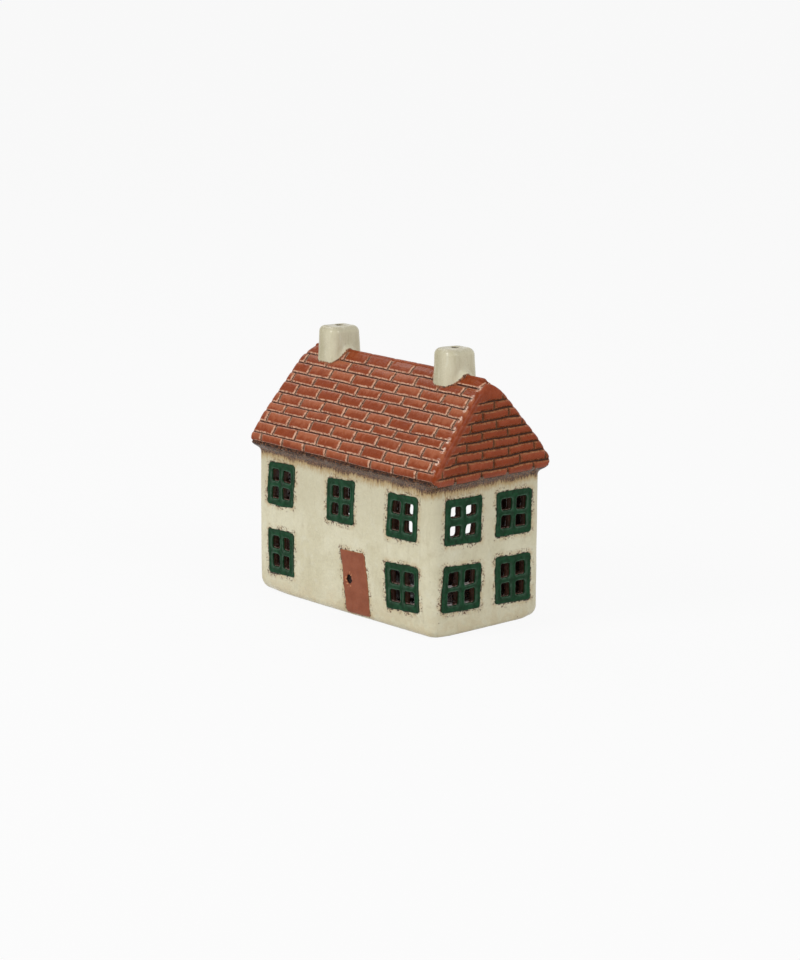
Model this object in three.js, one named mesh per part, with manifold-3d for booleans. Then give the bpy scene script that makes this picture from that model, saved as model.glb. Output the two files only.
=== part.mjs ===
// A glazed stoneware cottage that holds a tea light, slab built: a base, four mitred walls, two roof
// slopes, two gables, two chimneys, a door and fifteen pierced windows, with the candle on its floor.
// Millimetres. X runs along the ridge, the door faces -Y, Z is up and z = 0 is the table.

import * as THREE from 'three';
import { mergeGeometries, mergeVertices } from 'three/addons/utils/BufferGeometryUtils.js';
import Module from 'manifold-3d';

const wasm = await Module();
wasm.setup();

// Walls and base
const wallLength = 136.8;
const wallDepth = 73.8;
const wallTop = 78.4;
const wallThickness = 4.5;
const cornerRadius = 4.4;
const baseThickness = 5;
const baseRoll = 4;

// Roof
const eaveRadius = 3.6;
const ridgeTop = 128.9;
const ridgeRadius = 2.5;
const slopeThickness = 4.3;
const gableThickness = 5;
const shoulderRadius = 8;
const gableLean = 4;

// Brick pattern pressed into the roof
const brickRelief = 0.9;
const brickDraft = 0.35;
const brickRoot = 0.4;
const jointWidth = 1.3;
const brickLength = 17.2;
const slopeCourses = 9;
const firstBed = 8.6;
const firstJoint = 5.1;
const gableBrickLength = 17.9;
const gableCourseHeight = 5.05;
const gableFirstBed = 4.4;
const gableCourses = 8;
const gableJointOffset = -6.3;
const shortestBrick = 4;
const longestEndCut = 8;
const eaveBrickWrap = THREE.MathUtils.degToRad(80);
const eaveGrooveWrap = THREE.MathUtils.degToRad(72);

// Chimneys
const chimneyLength = 15.3;
const chimneyDepth = 21.9;
const chimneyTaper = 1.4;
const chimneyCorner = 3.4;
const chimneyCrown = 2.4;
const chimneyRise = 11.7;
const chimneySetback = 1.2;
const chimneyRoot = 3;
const leftChimneyX = -47.4;
const rightChimneyX = 41.3;
const ventBore = 3;

// Windows: pierced tiles let into shallow recesses
const recessDepth = 2;
const tileCorner = 1.3;
const tileStile = 3.3;
const tileRail = 3.6;
const glazingBar = 3;
const paneCorner = 1.2;
const paneRebate = 0.5;

// Door
const doorWidth = 18.9;
const doorHeight = 32.9;
const doorCentreX = 8.9;
const doorSill = 1.8;
const doorLean = -5.3;
const doorTilt = 0.7;
const knobHole = 1.8;
const knobHoleDepth = 1.2;
const knobFromCentre = -5.1;
const knobHeight = 17.4;

// Opening in the rear wall, where the candle goes in
const openingWidth = 62;
const openingHeight = 34.2;
const openingSill = 16;
const openingCentreX = -4.4;
const openingCorner = 9;

// Tea light
const candleDiameter = 38;
const candleHeight = 16;
const candleX = -1.6;
const candleY = 1.8;
const cupWall = 0.4;
const cupDraft = 0.6;
const cupBead = 0.5;
const waxLevel = 12.4;
const wickDiameter = 1.4;
const wickAboveWax = 7;
const sustainerDiameter = 12;
const sustainerThickness = 0.5;
const sustainerNeck = 3;
const sustainerNeckWall = 0.5;

// Clearances, and how far a cut runs past the face that it goes through
const fitGap = 0.3;
const overrun = 1;

// Sides of round pieces, and the least radius that a round corner can take
const candleSides = 28;
const boreSides = 12;
const leastRadius = 0.3;

// How much higher the left end's lower rear window sits than its twin on the right
const leftRearLift = 1.3;

// Each wall's windows. Their centre is measured from a side, -1 left, 0 middle or 1 right, and down
// from the wall's top or up from the table. Lean and tilt skew the tile as the hand-set ones are.
const frontWindows = [
  {
    name: 'front_window_upper_left',
    from: -1, across: 18.4, below: 18.9, width: 21, height: 22.6, lean: 1.2, tilt: 1,
  },
  {
    name: 'front_window_upper_middle',
    from: 0, across: -2.7, below: 19.4, width: 20.9, height: 22.7, lean: 1.4, tilt: 1.1,
  },
  {
    name: 'front_window_upper_right',
    from: 1, across: -24.3, below: 19.5, width: 22.4, height: 22.8, lean: 1.4, tilt: 0.9,
  },
  {
    name: 'front_window_lower_left',
    from: -1, across: 18.4, above: 22.9, width: 20.4, height: 23.5, lean: -0.3, tilt: 0.2,
  },
  {
    name: 'front_window_lower_right',
    from: 1, across: -23.8, above: 22.7, width: 24.4, height: 23.3, lean: -1.3, tilt: 1.4,
  },
];
const rightWindows = [
  {
    name: 'right_window_upper_front',
    from: -1, across: 19.6, below: 20, width: 24.7, height: 23.5, lean: 0.4, tilt: -1.2,
  },
  {
    name: 'right_window_upper_rear',
    from: 1, across: -19.2, below: 20.9, width: 24.6, height: 22.7, lean: 0.7, tilt: -0.9,
  },
  {
    name: 'right_window_lower_front',
    from: -1, across: 18.9, above: 24.1, width: 26.1, height: 23.3, lean: 0.9, tilt: -1.5,
  },
  {
    name: 'right_window_lower_rear',
    from: 1, across: -19.3, above: 22.8, width: 24.6, height: 24.4, lean: 0, tilt: -1.3,
  },
];
const rearWindows = [
  {
    name: 'rear_window_right',
    from: -1, across: 12.7, below: 18.7, width: 18.6, height: 25, lean: 0.2, tilt: 0.3,
  },
];
const leftWindows = rightWindows.map((win) => mirrored(win, 'right', 'left'));
leftWindows[leftWindows.length - 1].above += leftRearLift;
rearWindows.push(mirrored(rearWindows[0], 'right', 'left'));

function mirrored(win, side, otherSide) {
  return {
    ...win,
    name: win.name.replace(side, otherSide),
    from: -win.from,
    across: -win.across,
    lean: -win.lean,
    tilt: -win.tilt,
  };
}

// Colours of the glazes, the clay and the candle
const glazes = {
  cream: new THREE.MeshStandardMaterial({ color: 0xcfc7a8, roughness: 0.35, metalness: 0 }),
  brick: new THREE.MeshStandardMaterial({ color: 0x9c4429, roughness: 0.35, metalness: 0 }),
  door: new THREE.MeshStandardMaterial({ color: 0x9a4e3a, roughness: 0.45, metalness: 0 }),
  green: new THREE.MeshStandardMaterial({ color: 0x1f4a35, roughness: 0.3, metalness: 0 }),
  chimney: new THREE.MeshStandardMaterial({ color: 0xc9c3a6, roughness: 0.4, metalness: 0 }),
  foil: new THREE.MeshStandardMaterial({ color: 0xc9cbcd, roughness: 0.3, metalness: 1 }),
  wax: new THREE.MeshStandardMaterial({ color: 0xf2efe6, roughness: 0.5, metalness: 0 }),
  wick: new THREE.MeshStandardMaterial({ color: 0xe8e2d0, roughness: 0.9, metalness: 0 }),
  tin: new THREE.MeshStandardMaterial({ color: 0xb9bbbd, roughness: 0.4, metalness: 1 }),
};

// Sizes of the roof that follow from the driving ones. Its section is drawn across the ridge: reach
// is the distance out from the ridge line, and the same section serves the front and the rear.
const spanToEave = wallDepth / 2;
const heelReach = spanToEave - wallThickness;
const roofHalfLength = wallLength / 2 + eaveRadius;
const eaveHeight = wallTop + eaveRadius;
const ridgeHeight = ridgeTop - ridgeRadius;
const slopeRise = ridgeHeight - eaveHeight;
const slopeAngle = Math.atan2(slopeRise, spanToEave)
  - Math.asin((eaveRadius - ridgeRadius) / Math.hypot(spanToEave, slopeRise));
const normalAngle = Math.PI / 2 - slopeAngle;
const undersideInset = brickRelief + slopeThickness;
const chimneyTop = ridgeTop + chimneyRise;
const ridgeRollEnd = ridgeRadius * Math.tan(slopeAngle);
const eaveRollStart = (spanToEave + eaveRadius * Math.cos(normalAngle)) / Math.cos(slopeAngle);
const courseHeight = (eaveRollStart - jointWidth / 2 - firstBed) / (slopeCourses - 1);
const mitreGap = fitGap / 2;
const leanRate = gableLean / (ridgeTop - wallTop);

// Height of the slope's face, sunk by an inset, at a reach
function slopeHeight(reach, inset) {
  return ridgeHeight + (ridgeRadius - inset) / Math.cos(slopeAngle) - reach * Math.tan(slopeAngle);
}

// A geometry as a solid, and back
function solidFrom(geometry) {
  const bare = geometry.index ? geometry.toNonIndexed() : geometry.clone();
  bare.deleteAttribute('normal');
  bare.deleteAttribute('uv');
  const welded = mergeVertices(bare, 1e-4);
  return new wasm.Manifold(new wasm.Mesh({
    numProp: 3,
    vertProperties: new Float32Array(welded.attributes.position.array),
    triVerts: new Uint32Array(welded.index.array),
  }));
}

function geometryFrom(solid) {
  const mesh = solid.getMesh();
  const geometry = new THREE.BufferGeometry();
  geometry.setAttribute('position', new THREE.BufferAttribute(new Float32Array(mesh.vertProperties), 3));
  geometry.setIndex(new THREE.BufferAttribute(new Uint32Array(mesh.triVerts), 1));
  geometry.computeVertexNormals();
  return geometry;
}

function named(name, solid, material) {
  const mesh = new THREE.Mesh(geometryFrom(solid), material);
  mesh.name = name;
  return mesh;
}

// Prism on a shape, from one depth to another along the shape's own normal
function prism(shape, from, to, curveSegments = 3) {
  const geometry = new THREE.ExtrudeGeometry(shape, { depth: to - from, bevelEnabled: false, curveSegments });
  return geometry.translate(0, 0, from);
}

// Closed skin over a stack of rings that all have the same number of points
function loft(rings) {
  const count = rings[0].length;
  const positions = rings.flat().flatMap((p) => [p.x, p.y, p.z]);
  const index = [];
  for (let r = 0; r + 1 < rings.length; r += 1) {
    for (let i = 0; i < count; i += 1) {
      const a = r * count + i;
      const b = r * count + ((i + 1) % count);
      index.push(a, b, b + count, a, b + count, a + count);
    }
  }
  const lastRing = (rings.length - 1) * count;
  for (let i = 1; i + 1 < count; i += 1) {
    index.push(0, i + 1, i, lastRing, lastRing + i, lastRing + i + 1);
  }
  const geometry = new THREE.BufferGeometry();
  geometry.setAttribute('position', new THREE.Float32BufferAttribute(positions, 3));
  geometry.setIndex(index);
  return solidFrom(geometry);
}

// Ring round a rectangle with round corners, counter-clockwise seen from above
function roundedRing(length, depth, cornerSize, z, steps = 4) {
  const radius = Math.max(cornerSize, leastRadius);
  const ring = [];
  for (let corner = 0; corner < 4; corner += 1) {
    const sx = corner === 0 || corner === 3 ? 1 : -1;
    const sy = corner < 2 ? 1 : -1;
    for (let k = 0; k <= steps; k += 1) {
      const angle = (corner + k / steps) * (Math.PI / 2);
      const x = sx * (length / 2 - radius) + radius * Math.cos(angle);
      const y = sy * (depth / 2 - radius) + radius * Math.sin(angle);
      ring.push(new THREE.Vector3(x, y, z));
    }
  }
  return ring;
}

// Round solid from a list of radii and heights
function turned(profile, sides) {
  return loft(profile.map(([radius, z]) => Array.from({ length: sides }, (_, i) => {
    const angle = (i / sides) * 2 * Math.PI;
    return new THREE.Vector3(radius * Math.cos(angle), radius * Math.sin(angle), z);
  })));
}

// Quarter round of a loft: how far the ring is drawn in, and how far it has risen, at each step
function quarterRound(radius, steps) {
  return Array.from({ length: steps + 1 }, (_, k) => {
    const angle = (k / steps) * (Math.PI / 2);
    return { inset: radius * (1 - Math.sin(angle)), rise: radius * (1 - Math.cos(angle)) };
  });
}

// Outline of a tile, pane or door with clipped corners, leaning and tilting as its piece does
function skewedOutline(piece, x, y, width, height, corner) {
  const outline = [];
  for (const [sx, sy] of [[-1, -1], [1, -1], [1, 1], [-1, 1]]) {
    const onLevelEdge = [x + sx * (width / 2 - corner), y + (sy * height) / 2];
    const onUprightEdge = [x + (sx * width) / 2, y + sy * (height / 2 - corner)];
    outline.push(...(sx === sy ? [onUprightEdge, onLevelEdge] : [onLevelEdge, onUprightEdge]));
  }
  return outline.map(([px, py]) => new THREE.Vector2(
    piece.x + px + (py * piece.lean) / piece.height,
    piece.y + py + (px * piece.tilt) / piece.width,
  ));
}

// Recess that a tile or the door lies in, with fitGap round it and behind it
function recessCut(piece) {
  const mouth = skewedOutline(piece, 0, 0, piece.width + 2 * fitGap, piece.height + 2 * fitGap, tileCorner);
  return solidFrom(prism(new THREE.Shape(mouth), -recessDepth - fitGap, overrun));
}

// A window's four panes, grown by a margin
function paneOutlines(win, margin) {
  const paneWidth = (win.width - 2 * tileStile - glazingBar) / 2;
  const paneHeight = (win.height - 2 * tileRail - glazingBar) / 2;
  const outlines = [];
  for (const side of [-1, 1]) {
    for (const storey of [-1, 1]) {
      const x = (side * (paneWidth + glazingBar)) / 2;
      const y = (storey * (paneHeight + glazingBar)) / 2;
      outlines.push(skewedOutline(win, x, y, paneWidth + 2 * margin, paneHeight + 2 * margin, paneCorner));
    }
  }
  return outlines;
}

// Recess for a tile, with its four panes through the wall behind it
function windowCut(win) {
  const panes = paneOutlines(win, paneRebate).map((outline) => (
    solidFrom(prism(new THREE.Shape(outline), -wallThickness - overrun, 0))
  ));
  return panes.reduce((cut, pane) => cut.add(pane), recessCut(win));
}

function windowTile(win) {
  const tile = new THREE.Shape(skewedOutline(win, 0, 0, win.width, win.height, tileCorner));
  tile.holes = paneOutlines(win, 0).map((outline) => new THREE.Path(outline));
  return solidFrom(prism(tile, -recessDepth, 0));
}

// Wall slab with mitred ends and round outer corners, its face at z = 0
function wallSlab(faceWidth) {
  const half = faceWidth / 2;
  const slack = fitGap / Math.SQRT2;
  const swing = mitreGap / cornerRadius;
  const innerEnd = half - wallThickness - slack;
  const plan = new THREE.Shape();
  plan.moveTo(-innerEnd, wallThickness);
  plan.absarc(cornerRadius - half, cornerRadius, cornerRadius, 1.25 * Math.PI + swing, 1.5 * Math.PI);
  plan.absarc(half - cornerRadius, cornerRadius, cornerRadius, 1.5 * Math.PI, 1.75 * Math.PI - swing);
  plan.lineTo(innerEnd, wallThickness);
  return solidFrom(prism(plan, baseThickness, wallTop, 2).rotateX(-Math.PI / 2));
}

// One wall with its tiles, drawn as seen from outside: x to the right, y up and z out of its face
function addWall(house, wall) {
  const placed = wall.windows.map((win) => ({
    ...win,
    x: (win.from * wall.width) / 2 + win.across,
    y: win.below === undefined ? win.above : wallTop - win.below,
  }));
  const cuts = [...placed.map(windowCut), ...wall.openings];
  const slab = cuts.reduce((solid, cut) => solid.subtract(cut), wallSlab(wall.width));
  const upright = new THREE.Group();
  upright.rotation.x = Math.PI / 2;
  upright.position.y = -wall.distance;
  upright.add(named(wall.name, slab, glazes.cream));
  for (const win of placed) {
    upright.add(named(win.name, windowTile(win), glazes.green));
  }
  for (const extra of wall.extras) {
    upright.add(extra);
  }
  const aroundHouse = new THREE.Group();
  aroundHouse.rotation.z = wall.turn;
  aroundHouse.add(upright);
  house.add(aroundHouse);
}

const doorPlace = {
  x: doorCentreX,
  y: doorSill + doorHeight / 2,
  width: doorWidth,
  height: doorHeight,
  lean: doorLean,
  tilt: doorTilt,
};

function frontDoor() {
  const outline = skewedOutline(doorPlace, 0, 0, doorWidth, doorHeight, tileCorner);
  const knob = new THREE.CylinderGeometry(knobHole / 2, knobHole / 2, 2 * knobHoleDepth, boreSides);
  knob.rotateX(Math.PI / 2);
  knob.translate(doorCentreX + knobFromCentre, doorSill + knobHeight, 0);
  const slab = solidFrom(prism(new THREE.Shape(outline), -recessDepth, 0));
  return slab.subtract(solidFrom(knob));
}

// The rear wall's opening, with round corners, over a sill that is openingSill above the floor
function rearOpening() {
  const reach = openingWidth / 2 - openingCorner;
  const low = baseThickness + openingSill + openingCorner;
  const high = baseThickness + openingSill + openingHeight - openingCorner;
  const mouth = new THREE.Shape();
  mouth.absarc(reach, high, openingCorner, 0, Math.PI / 2);
  mouth.absarc(-reach, high, openingCorner, Math.PI / 2, Math.PI);
  mouth.absarc(-reach, low, openingCorner, Math.PI, 1.5 * Math.PI);
  mouth.absarc(reach, low, openingCorner, 1.5 * Math.PI, 2 * Math.PI);
  return solidFrom(prism(mouth, -wallThickness - overrun, overrun).translate(-openingCentreX, 0, 0));
}

// Base slab, its lower edge rolled under, cut for the foot of the door
function baseSlab() {
  const rings = quarterRound(baseRoll, 4).map(({ inset, rise }) => (
    roundedRing(wallLength - 2 * inset, wallDepth - 2 * inset, cornerRadius - inset, rise)
  ));
  rings.push(roundedRing(wallLength, wallDepth, cornerRadius, baseThickness));
  const doorFoot = recessCut(doorPlace).rotate([90, 0, 0]).translate([0, -wallDepth / 2, 0]);
  return loft(rings).subtract(doorFoot);
}

// Cross-section of a slope with its face sunk by an inset: heel, eave roll, face and ridge roll
function slopeSection(inset) {
  const section = new THREE.Shape();
  section.moveTo(heelReach, wallTop);
  section.lineTo(spanToEave, wallTop);
  section.absarc(spanToEave, eaveHeight, eaveRadius - inset, -eaveGrooveWrap, normalAngle);
  section.lineTo(
    (ridgeRadius - inset) * Math.cos(normalAngle),
    ridgeHeight + (ridgeRadius - inset) * Math.sin(normalAngle),
  );
  section.absarc(0, ridgeHeight, ridgeRadius, normalAngle, Math.acos(mitreGap / ridgeRadius));
  section.lineTo(mitreGap, slopeHeight(mitreGap, undersideInset));
  section.lineTo(heelReach, slopeHeight(heelReach, undersideInset));
  return section;
}

// Solid on a section of the front slope, from one place on the ridge to another
function alongRidge(section, from, to) {
  const acrossRidge = new THREE.Matrix4().makeBasis(
    new THREE.Vector3(0, -1, 0),
    new THREE.Vector3(0, 0, 1),
    new THREE.Vector3(-1, 0, 0),
  );
  return solidFrom(prism(section, -to, -from).applyMatrix4(acrossRidge));
}

// One brick: a block rooted in the clay whose sides draw in towards its face at z = 0
function brick(x0, x1, y0, y1) {
  const height = brickRelief + brickRoot;
  const block = new THREE.BoxGeometry(x1 - x0, y1 - y0, height);
  const position = block.attributes.position;
  for (let i = 0; i < position.count; i += 1) {
    if (position.getZ(i) > 0) {
      position.setX(i, position.getX(i) - Math.sign(position.getX(i)) * brickDraft);
      position.setY(i, position.getY(i) - Math.sign(position.getY(i)) * brickDraft);
    }
  }
  return block.translate((x0 + x1) / 2, (y0 + y1) / 2, -height / 2);
}

// From where to where each brick of a course runs, between its two ends
function courseSpans(left, right, joint, length) {
  const spans = [];
  let start = left;
  for (let x = joint; x < right - longestEndCut; x += length) {
    if (x > left + shortestBrick) {
      spans.push([start, x - jointWidth / 2]);
      start = x + jointWidth / 2;
    }
  }
  spans.push([start, right]);
  return spans;
}

function slopeSpans(left, right, course) {
  const bond = course % 2 === 0 ? brickLength / 2 : 0;
  return courseSpans(left, right, left + firstJoint + bond, brickLength);
}

// The courses on a slope's flat face, then the last course wrapped round the eave
function slopeBricks(left, right) {
  const bricks = [];
  for (let course = 0; course < slopeCourses; course += 1) {
    const bed = firstBed + course * courseHeight;
    const top = course === 0 ? ridgeRollEnd - brickDraft : bed - courseHeight + jointWidth / 2;
    for (const [x0, x1] of slopeSpans(left, right, course)) {
      bricks.push(brick(x0, x1, jointWidth / 2 - bed, -top));
    }
  }
  const field = mergeGeometries(bricks).rotateX(slopeAngle).translate(0, 0, slopeHeight(0, 0));
  const eave = slopeSpans(left, right, slopeCourses).map(([x0, x1]) => (
    alongRidge(eaveBrickSection(), x0 + brickDraft / 2, x1 - brickDraft / 2)
  ));
  return eave.reduce((all, one) => all.add(one), solidFrom(field));
}

function eaveBrickSection() {
  const rootRadius = eaveRadius - brickRelief - brickRoot;
  const section = new THREE.Shape();
  section.absarc(spanToEave, eaveHeight, eaveRadius, -eaveBrickWrap, normalAngle);
  section.absarc(spanToEave, eaveHeight, rootRadius, normalAngle, -eaveBrickWrap, true);
  return section;
}

// Leans a solid over towards -X as it rises above the walls, or towards +X where side is -1
function leaned(solid, side) {
  const perRise = side * leanRate;
  return solid.transform([1, 0, 0, 0, 0, 1, 0, 0, -perRise, 0, 1, 0, perRise * wallTop, 0, 0, 1]);
}

// Room between two ends that both lean in over the house
function betweenLeaningEnds(upright) {
  return leaned(upright, 1).intersect(leaned(upright, -1));
}

// The roof seen from the front, with round shoulders and a rounded lower edge at each end
function roofEnvelope() {
  const shoulderX = roofHalfLength - shoulderRadius;
  const shoulderZ = ridgeTop - shoulderRadius;
  const quarter = Math.PI / 2;
  const outline = new THREE.Shape();
  outline.moveTo(-wallLength / 2, wallTop - eaveRadius);
  outline.lineTo(wallLength / 2, wallTop - eaveRadius);
  outline.absarc(wallLength / 2, eaveHeight, eaveRadius, -quarter, 0);
  outline.absarc(shoulderX, shoulderZ, shoulderRadius, 0, quarter);
  outline.absarc(-shoulderX, shoulderZ, shoulderRadius, quarter, 2 * quarter);
  outline.absarc(-wallLength / 2, eaveHeight, eaveRadius, 2 * quarter, 3 * quarter);
  return betweenLeaningEnds(solidFrom(prism(outline, -wallDepth, wallDepth).rotateX(quarter)));
}

function frontSlope() {
  const end = roofHalfLength + overrun;
  const field = alongRidge(slopeSection(brickRelief), -end, end);
  return field.add(slopeBricks(-roofHalfLength, roofHalfLength)).intersect(roofEnvelope());
}

// The rear slope lies between the gables, and the chimneys' vents go on through it
function rearSlope() {
  const end = roofHalfLength - gableThickness - fitGap;
  const field = alongRidge(slopeSection(brickRelief), -end, end);
  const whole = field.add(slopeBricks(-end, end)).rotate([0, 0, 180]);
  const room = wasm.Manifold.cube([2 * end, 2 * wallDepth, 2 * ridgeTop], true).translate([0, 0, ridgeTop]);
  const slope = whole.intersect(roofEnvelope()).intersect(betweenLeaningEnds(room));
  return [leftChimneyX, rightChimneyX].reduce((solid, x) => solid.subtract(ventAt(x)), slope);
}

// Bore of a chimney's vent
function ventAt(x) {
  const bore = new THREE.CylinderGeometry(ventBore / 2, ventBore / 2, chimneyTop, boreSides);
  return solidFrom(bore.rotateX(Math.PI / 2).translate(x, chimneySetback, chimneyTop));
}

// Right gable's outline seen from its end, y as reach: the front slope lies on its front edge with a
// gap, and its rear edge is bare
function gableSection(gap) {
  const front = heelReach - fitGap;
  const drop = gap / Math.cos(slopeAngle);
  const section = new THREE.Shape();
  section.moveTo(-front, wallTop);
  section.lineTo(spanToEave, wallTop);
  section.absarc(spanToEave, eaveHeight, eaveRadius, -eaveBrickWrap, normalAngle);
  section.absarc(0, ridgeHeight, ridgeRadius, normalAngle, Math.acos(mitreGap / ridgeRadius));
  section.lineTo(mitreGap, slopeHeight(mitreGap, undersideInset) - drop);
  section.lineTo(-front, slopeHeight(front, undersideInset) - drop);
  return section;
}

function gableBricks() {
  const bricks = [];
  for (let course = 0; course < gableCourses; course += 1) {
    const top = wallTop + gableFirstBed + course * gableCourseHeight;
    const bed = course === 0 ? wallTop - jointWidth : top - gableCourseHeight;
    const bond = course % 2 === 0 ? 0 : gableBrickLength / 2;
    const joint = gableJointOffset - 2 * gableBrickLength + bond;
    for (const [x0, x1] of courseSpans(-wallDepth, wallDepth, joint, gableBrickLength)) {
      bricks.push(brick(x0, x1, bed + jointWidth / 2, top - jointWidth / 2));
    }
  }
  return solidFrom(mergeGeometries(bricks));
}

// Strip behind the gable that stands on the end wall between the slopes' heels
function gableFoot() {
  const reach = heelReach - fitGap;
  const top = slopeHeight(reach, undersideInset + fitGap);
  const section = new THREE.Shape([
    new THREE.Vector2(-reach, wallTop),
    new THREE.Vector2(reach, wallTop),
    new THREE.Vector2(reach, top),
    new THREE.Vector2(-reach, top),
  ]);
  return solidFrom(prism(section, -eaveRadius - wallThickness, overrun - gableThickness));
}

function rightGable() {
  const panel = solidFrom(prism(gableSection(fitGap), -gableThickness, -brickRelief));
  const faceRoom = solidFrom(prism(gableSection(fitGap + jointWidth), -gableThickness, 0));
  const gable = panel.add(gableBricks().intersect(faceRoom)).add(gableFoot());
  const upright = gable.rotate([90, 0, 90]).translate([roofHalfLength, 0, 0]);
  return leaned(upright, 1).intersect(roofEnvelope());
}

// Everything under the brick faces, grown by fitGap, which the chimneys are cut to sit on
function roofBelow() {
  const section = new THREE.Shape();
  section.moveTo(-spanToEave, wallTop);
  section.lineTo(spanToEave, wallTop);
  section.lineTo(spanToEave, slopeHeight(spanToEave, -fitGap));
  section.absarc(0, ridgeHeight, ridgeRadius + fitGap, normalAngle, Math.PI - normalAngle);
  section.lineTo(-spanToEave, slopeHeight(spanToEave, -fitGap));
  return alongRidge(section, -roofHalfLength, roofHalfLength);
}

function chimney(x) {
  const crown = quarterRound(chimneyCrown, 3).reverse().map(({ inset, rise }) => roundedRing(
    chimneyLength - chimneyTaper - 2 * inset,
    chimneyDepth - chimneyTaper - 2 * inset,
    chimneyCorner - inset,
    chimneyTop - rise,
    3,
  ));
  const footZ = slopeHeight(chimneySetback + chimneyDepth / 2, 0) - chimneyRoot;
  const foot = roundedRing(chimneyLength, chimneyDepth, chimneyCorner, footZ, 3);
  const stack = loft([foot, ...crown]).translate([x, chimneySetback, 0]);
  return stack.subtract(roofBelow()).subtract(ventAt(x));
}

// Tea light: a foil cup of wax and a wick held by a tin sustainer, z = 0 under the cup
function teaLight() {
  const cupRadius = candleDiameter / 2;
  const cupFoot = cupRadius - cupDraft;
  const cup = turned([
    [cupFoot, 0],
    [cupRadius - cupBead, candleHeight - 2 * cupBead],
    [cupRadius, candleHeight - cupBead],
    [cupRadius - cupBead / 2, candleHeight],
    [cupRadius - cupBead - cupWall, candleHeight],
    [cupFoot - cupWall, cupWall],
  ], candleSides);
  const neckRadius = wickDiameter / 2 + fitGap + sustainerNeckWall;
  const neckTop = cupWall + sustainerThickness + sustainerNeck;
  const sustainer = turned([
    [sustainerDiameter / 2, cupWall],
    [sustainerDiameter / 2, cupWall + sustainerThickness],
    [neckRadius, cupWall + sustainerThickness],
    [neckRadius, neckTop],
  ], candleSides);
  const wick = turned([
    [wickDiameter / 2, cupWall],
    [wickDiameter / 2, waxLevel + wickAboveWax],
  ], boreSides);
  const wickRoom = turned([
    [wickDiameter / 2 + fitGap, -overrun],
    [wickDiameter / 2 + fitGap, candleHeight],
  ], boreSides);
  const sustainerRoom = turned([
    [sustainerDiameter / 2 + fitGap, -overrun],
    [sustainerDiameter / 2 + fitGap, cupWall + sustainerThickness + fitGap],
    [neckRadius + fitGap, cupWall + sustainerThickness + fitGap],
    [neckRadius + fitGap, neckTop + fitGap],
  ], candleSides);
  const wax = turned([
    [cupFoot - cupWall - fitGap, cupWall],
    [cupRadius - cupBead - cupWall - fitGap, waxLevel],
  ], candleSides);
  const candle = new THREE.Group();
  candle.position.set(candleX, candleY, baseThickness + fitGap);
  candle.add(
    named('tealight_cup', cup, glazes.foil),
    named('tealight_wax', wax.subtract(sustainerRoom).subtract(wickRoom), glazes.wax),
    named('wick_sustainer', sustainer.subtract(wickRoom), glazes.tin),
    named('tealight_wick', wick, glazes.wick),
  );
  return candle;
}

const quarterTurn = Math.PI / 2;
const walls = [
  {
    name: 'front_wall', turn: 0, width: wallLength, distance: wallDepth / 2,
    windows: frontWindows, openings: [recessCut(doorPlace)],
    extras: [named('front_door', frontDoor(), glazes.door)],
  },
  {
    name: 'right_end_wall', turn: quarterTurn, width: wallDepth, distance: wallLength / 2,
    windows: rightWindows, openings: [], extras: [],
  },
  {
    name: 'rear_wall', turn: 2 * quarterTurn, width: wallLength, distance: wallDepth / 2,
    windows: rearWindows, openings: [rearOpening()], extras: [],
  },
  {
    name: 'left_end_wall', turn: 3 * quarterTurn, width: wallDepth, distance: wallLength / 2,
    windows: leftWindows, openings: [], extras: [],
  },
];

const house = new THREE.Group();
house.add(named('base_slab', baseSlab(), glazes.cream));
for (const wall of walls) {
  addWall(house, wall);
}
house.add(
  named('front_roof_slope', frontSlope(), glazes.brick),
  named('rear_roof_slope', rearSlope(), glazes.brick),
  named('right_gable', rightGable(), glazes.brick),
  named('left_gable', rightGable().mirror([1, 0, 0]), glazes.brick),
  named('left_chimney', chimney(leftChimneyX), glazes.chimney),
  named('right_chimney', chimney(rightChimneyX), glazes.chimney),
  teaLight(),
);

export default house;
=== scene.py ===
import math
from types import SimpleNamespace as Kit

import bpy
import numpy as np
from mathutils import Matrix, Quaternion, Vector


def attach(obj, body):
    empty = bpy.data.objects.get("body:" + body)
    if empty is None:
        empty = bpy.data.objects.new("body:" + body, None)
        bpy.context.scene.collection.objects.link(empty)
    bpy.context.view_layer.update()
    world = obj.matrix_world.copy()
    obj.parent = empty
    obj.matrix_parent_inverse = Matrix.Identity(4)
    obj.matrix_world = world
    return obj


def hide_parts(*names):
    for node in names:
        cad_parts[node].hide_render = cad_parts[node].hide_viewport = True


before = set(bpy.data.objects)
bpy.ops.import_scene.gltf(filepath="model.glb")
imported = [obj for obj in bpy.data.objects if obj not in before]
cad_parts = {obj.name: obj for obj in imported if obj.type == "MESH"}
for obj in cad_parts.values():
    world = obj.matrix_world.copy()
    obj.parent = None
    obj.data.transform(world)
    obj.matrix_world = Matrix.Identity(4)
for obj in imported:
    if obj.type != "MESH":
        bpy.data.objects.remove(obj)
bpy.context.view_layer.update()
scene = bpy.context.scene

# Lengths are in millimetres until a mesh is made. X runs along the ridge, the door faces -Y.
MM = 0.001
PITCH = 1.0
BASE_PITCH, WALL_PITCH, TILE_PITCH, DOOR_PITCH = (PITCH * size for size in (0.8, 0.6, 0.32, 0.35))
SLOPE_PITCH, GABLE_PITCH, CHIMNEY_PITCH = (PITCH * size for size in (0.46, 0.42, 0.4))

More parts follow.
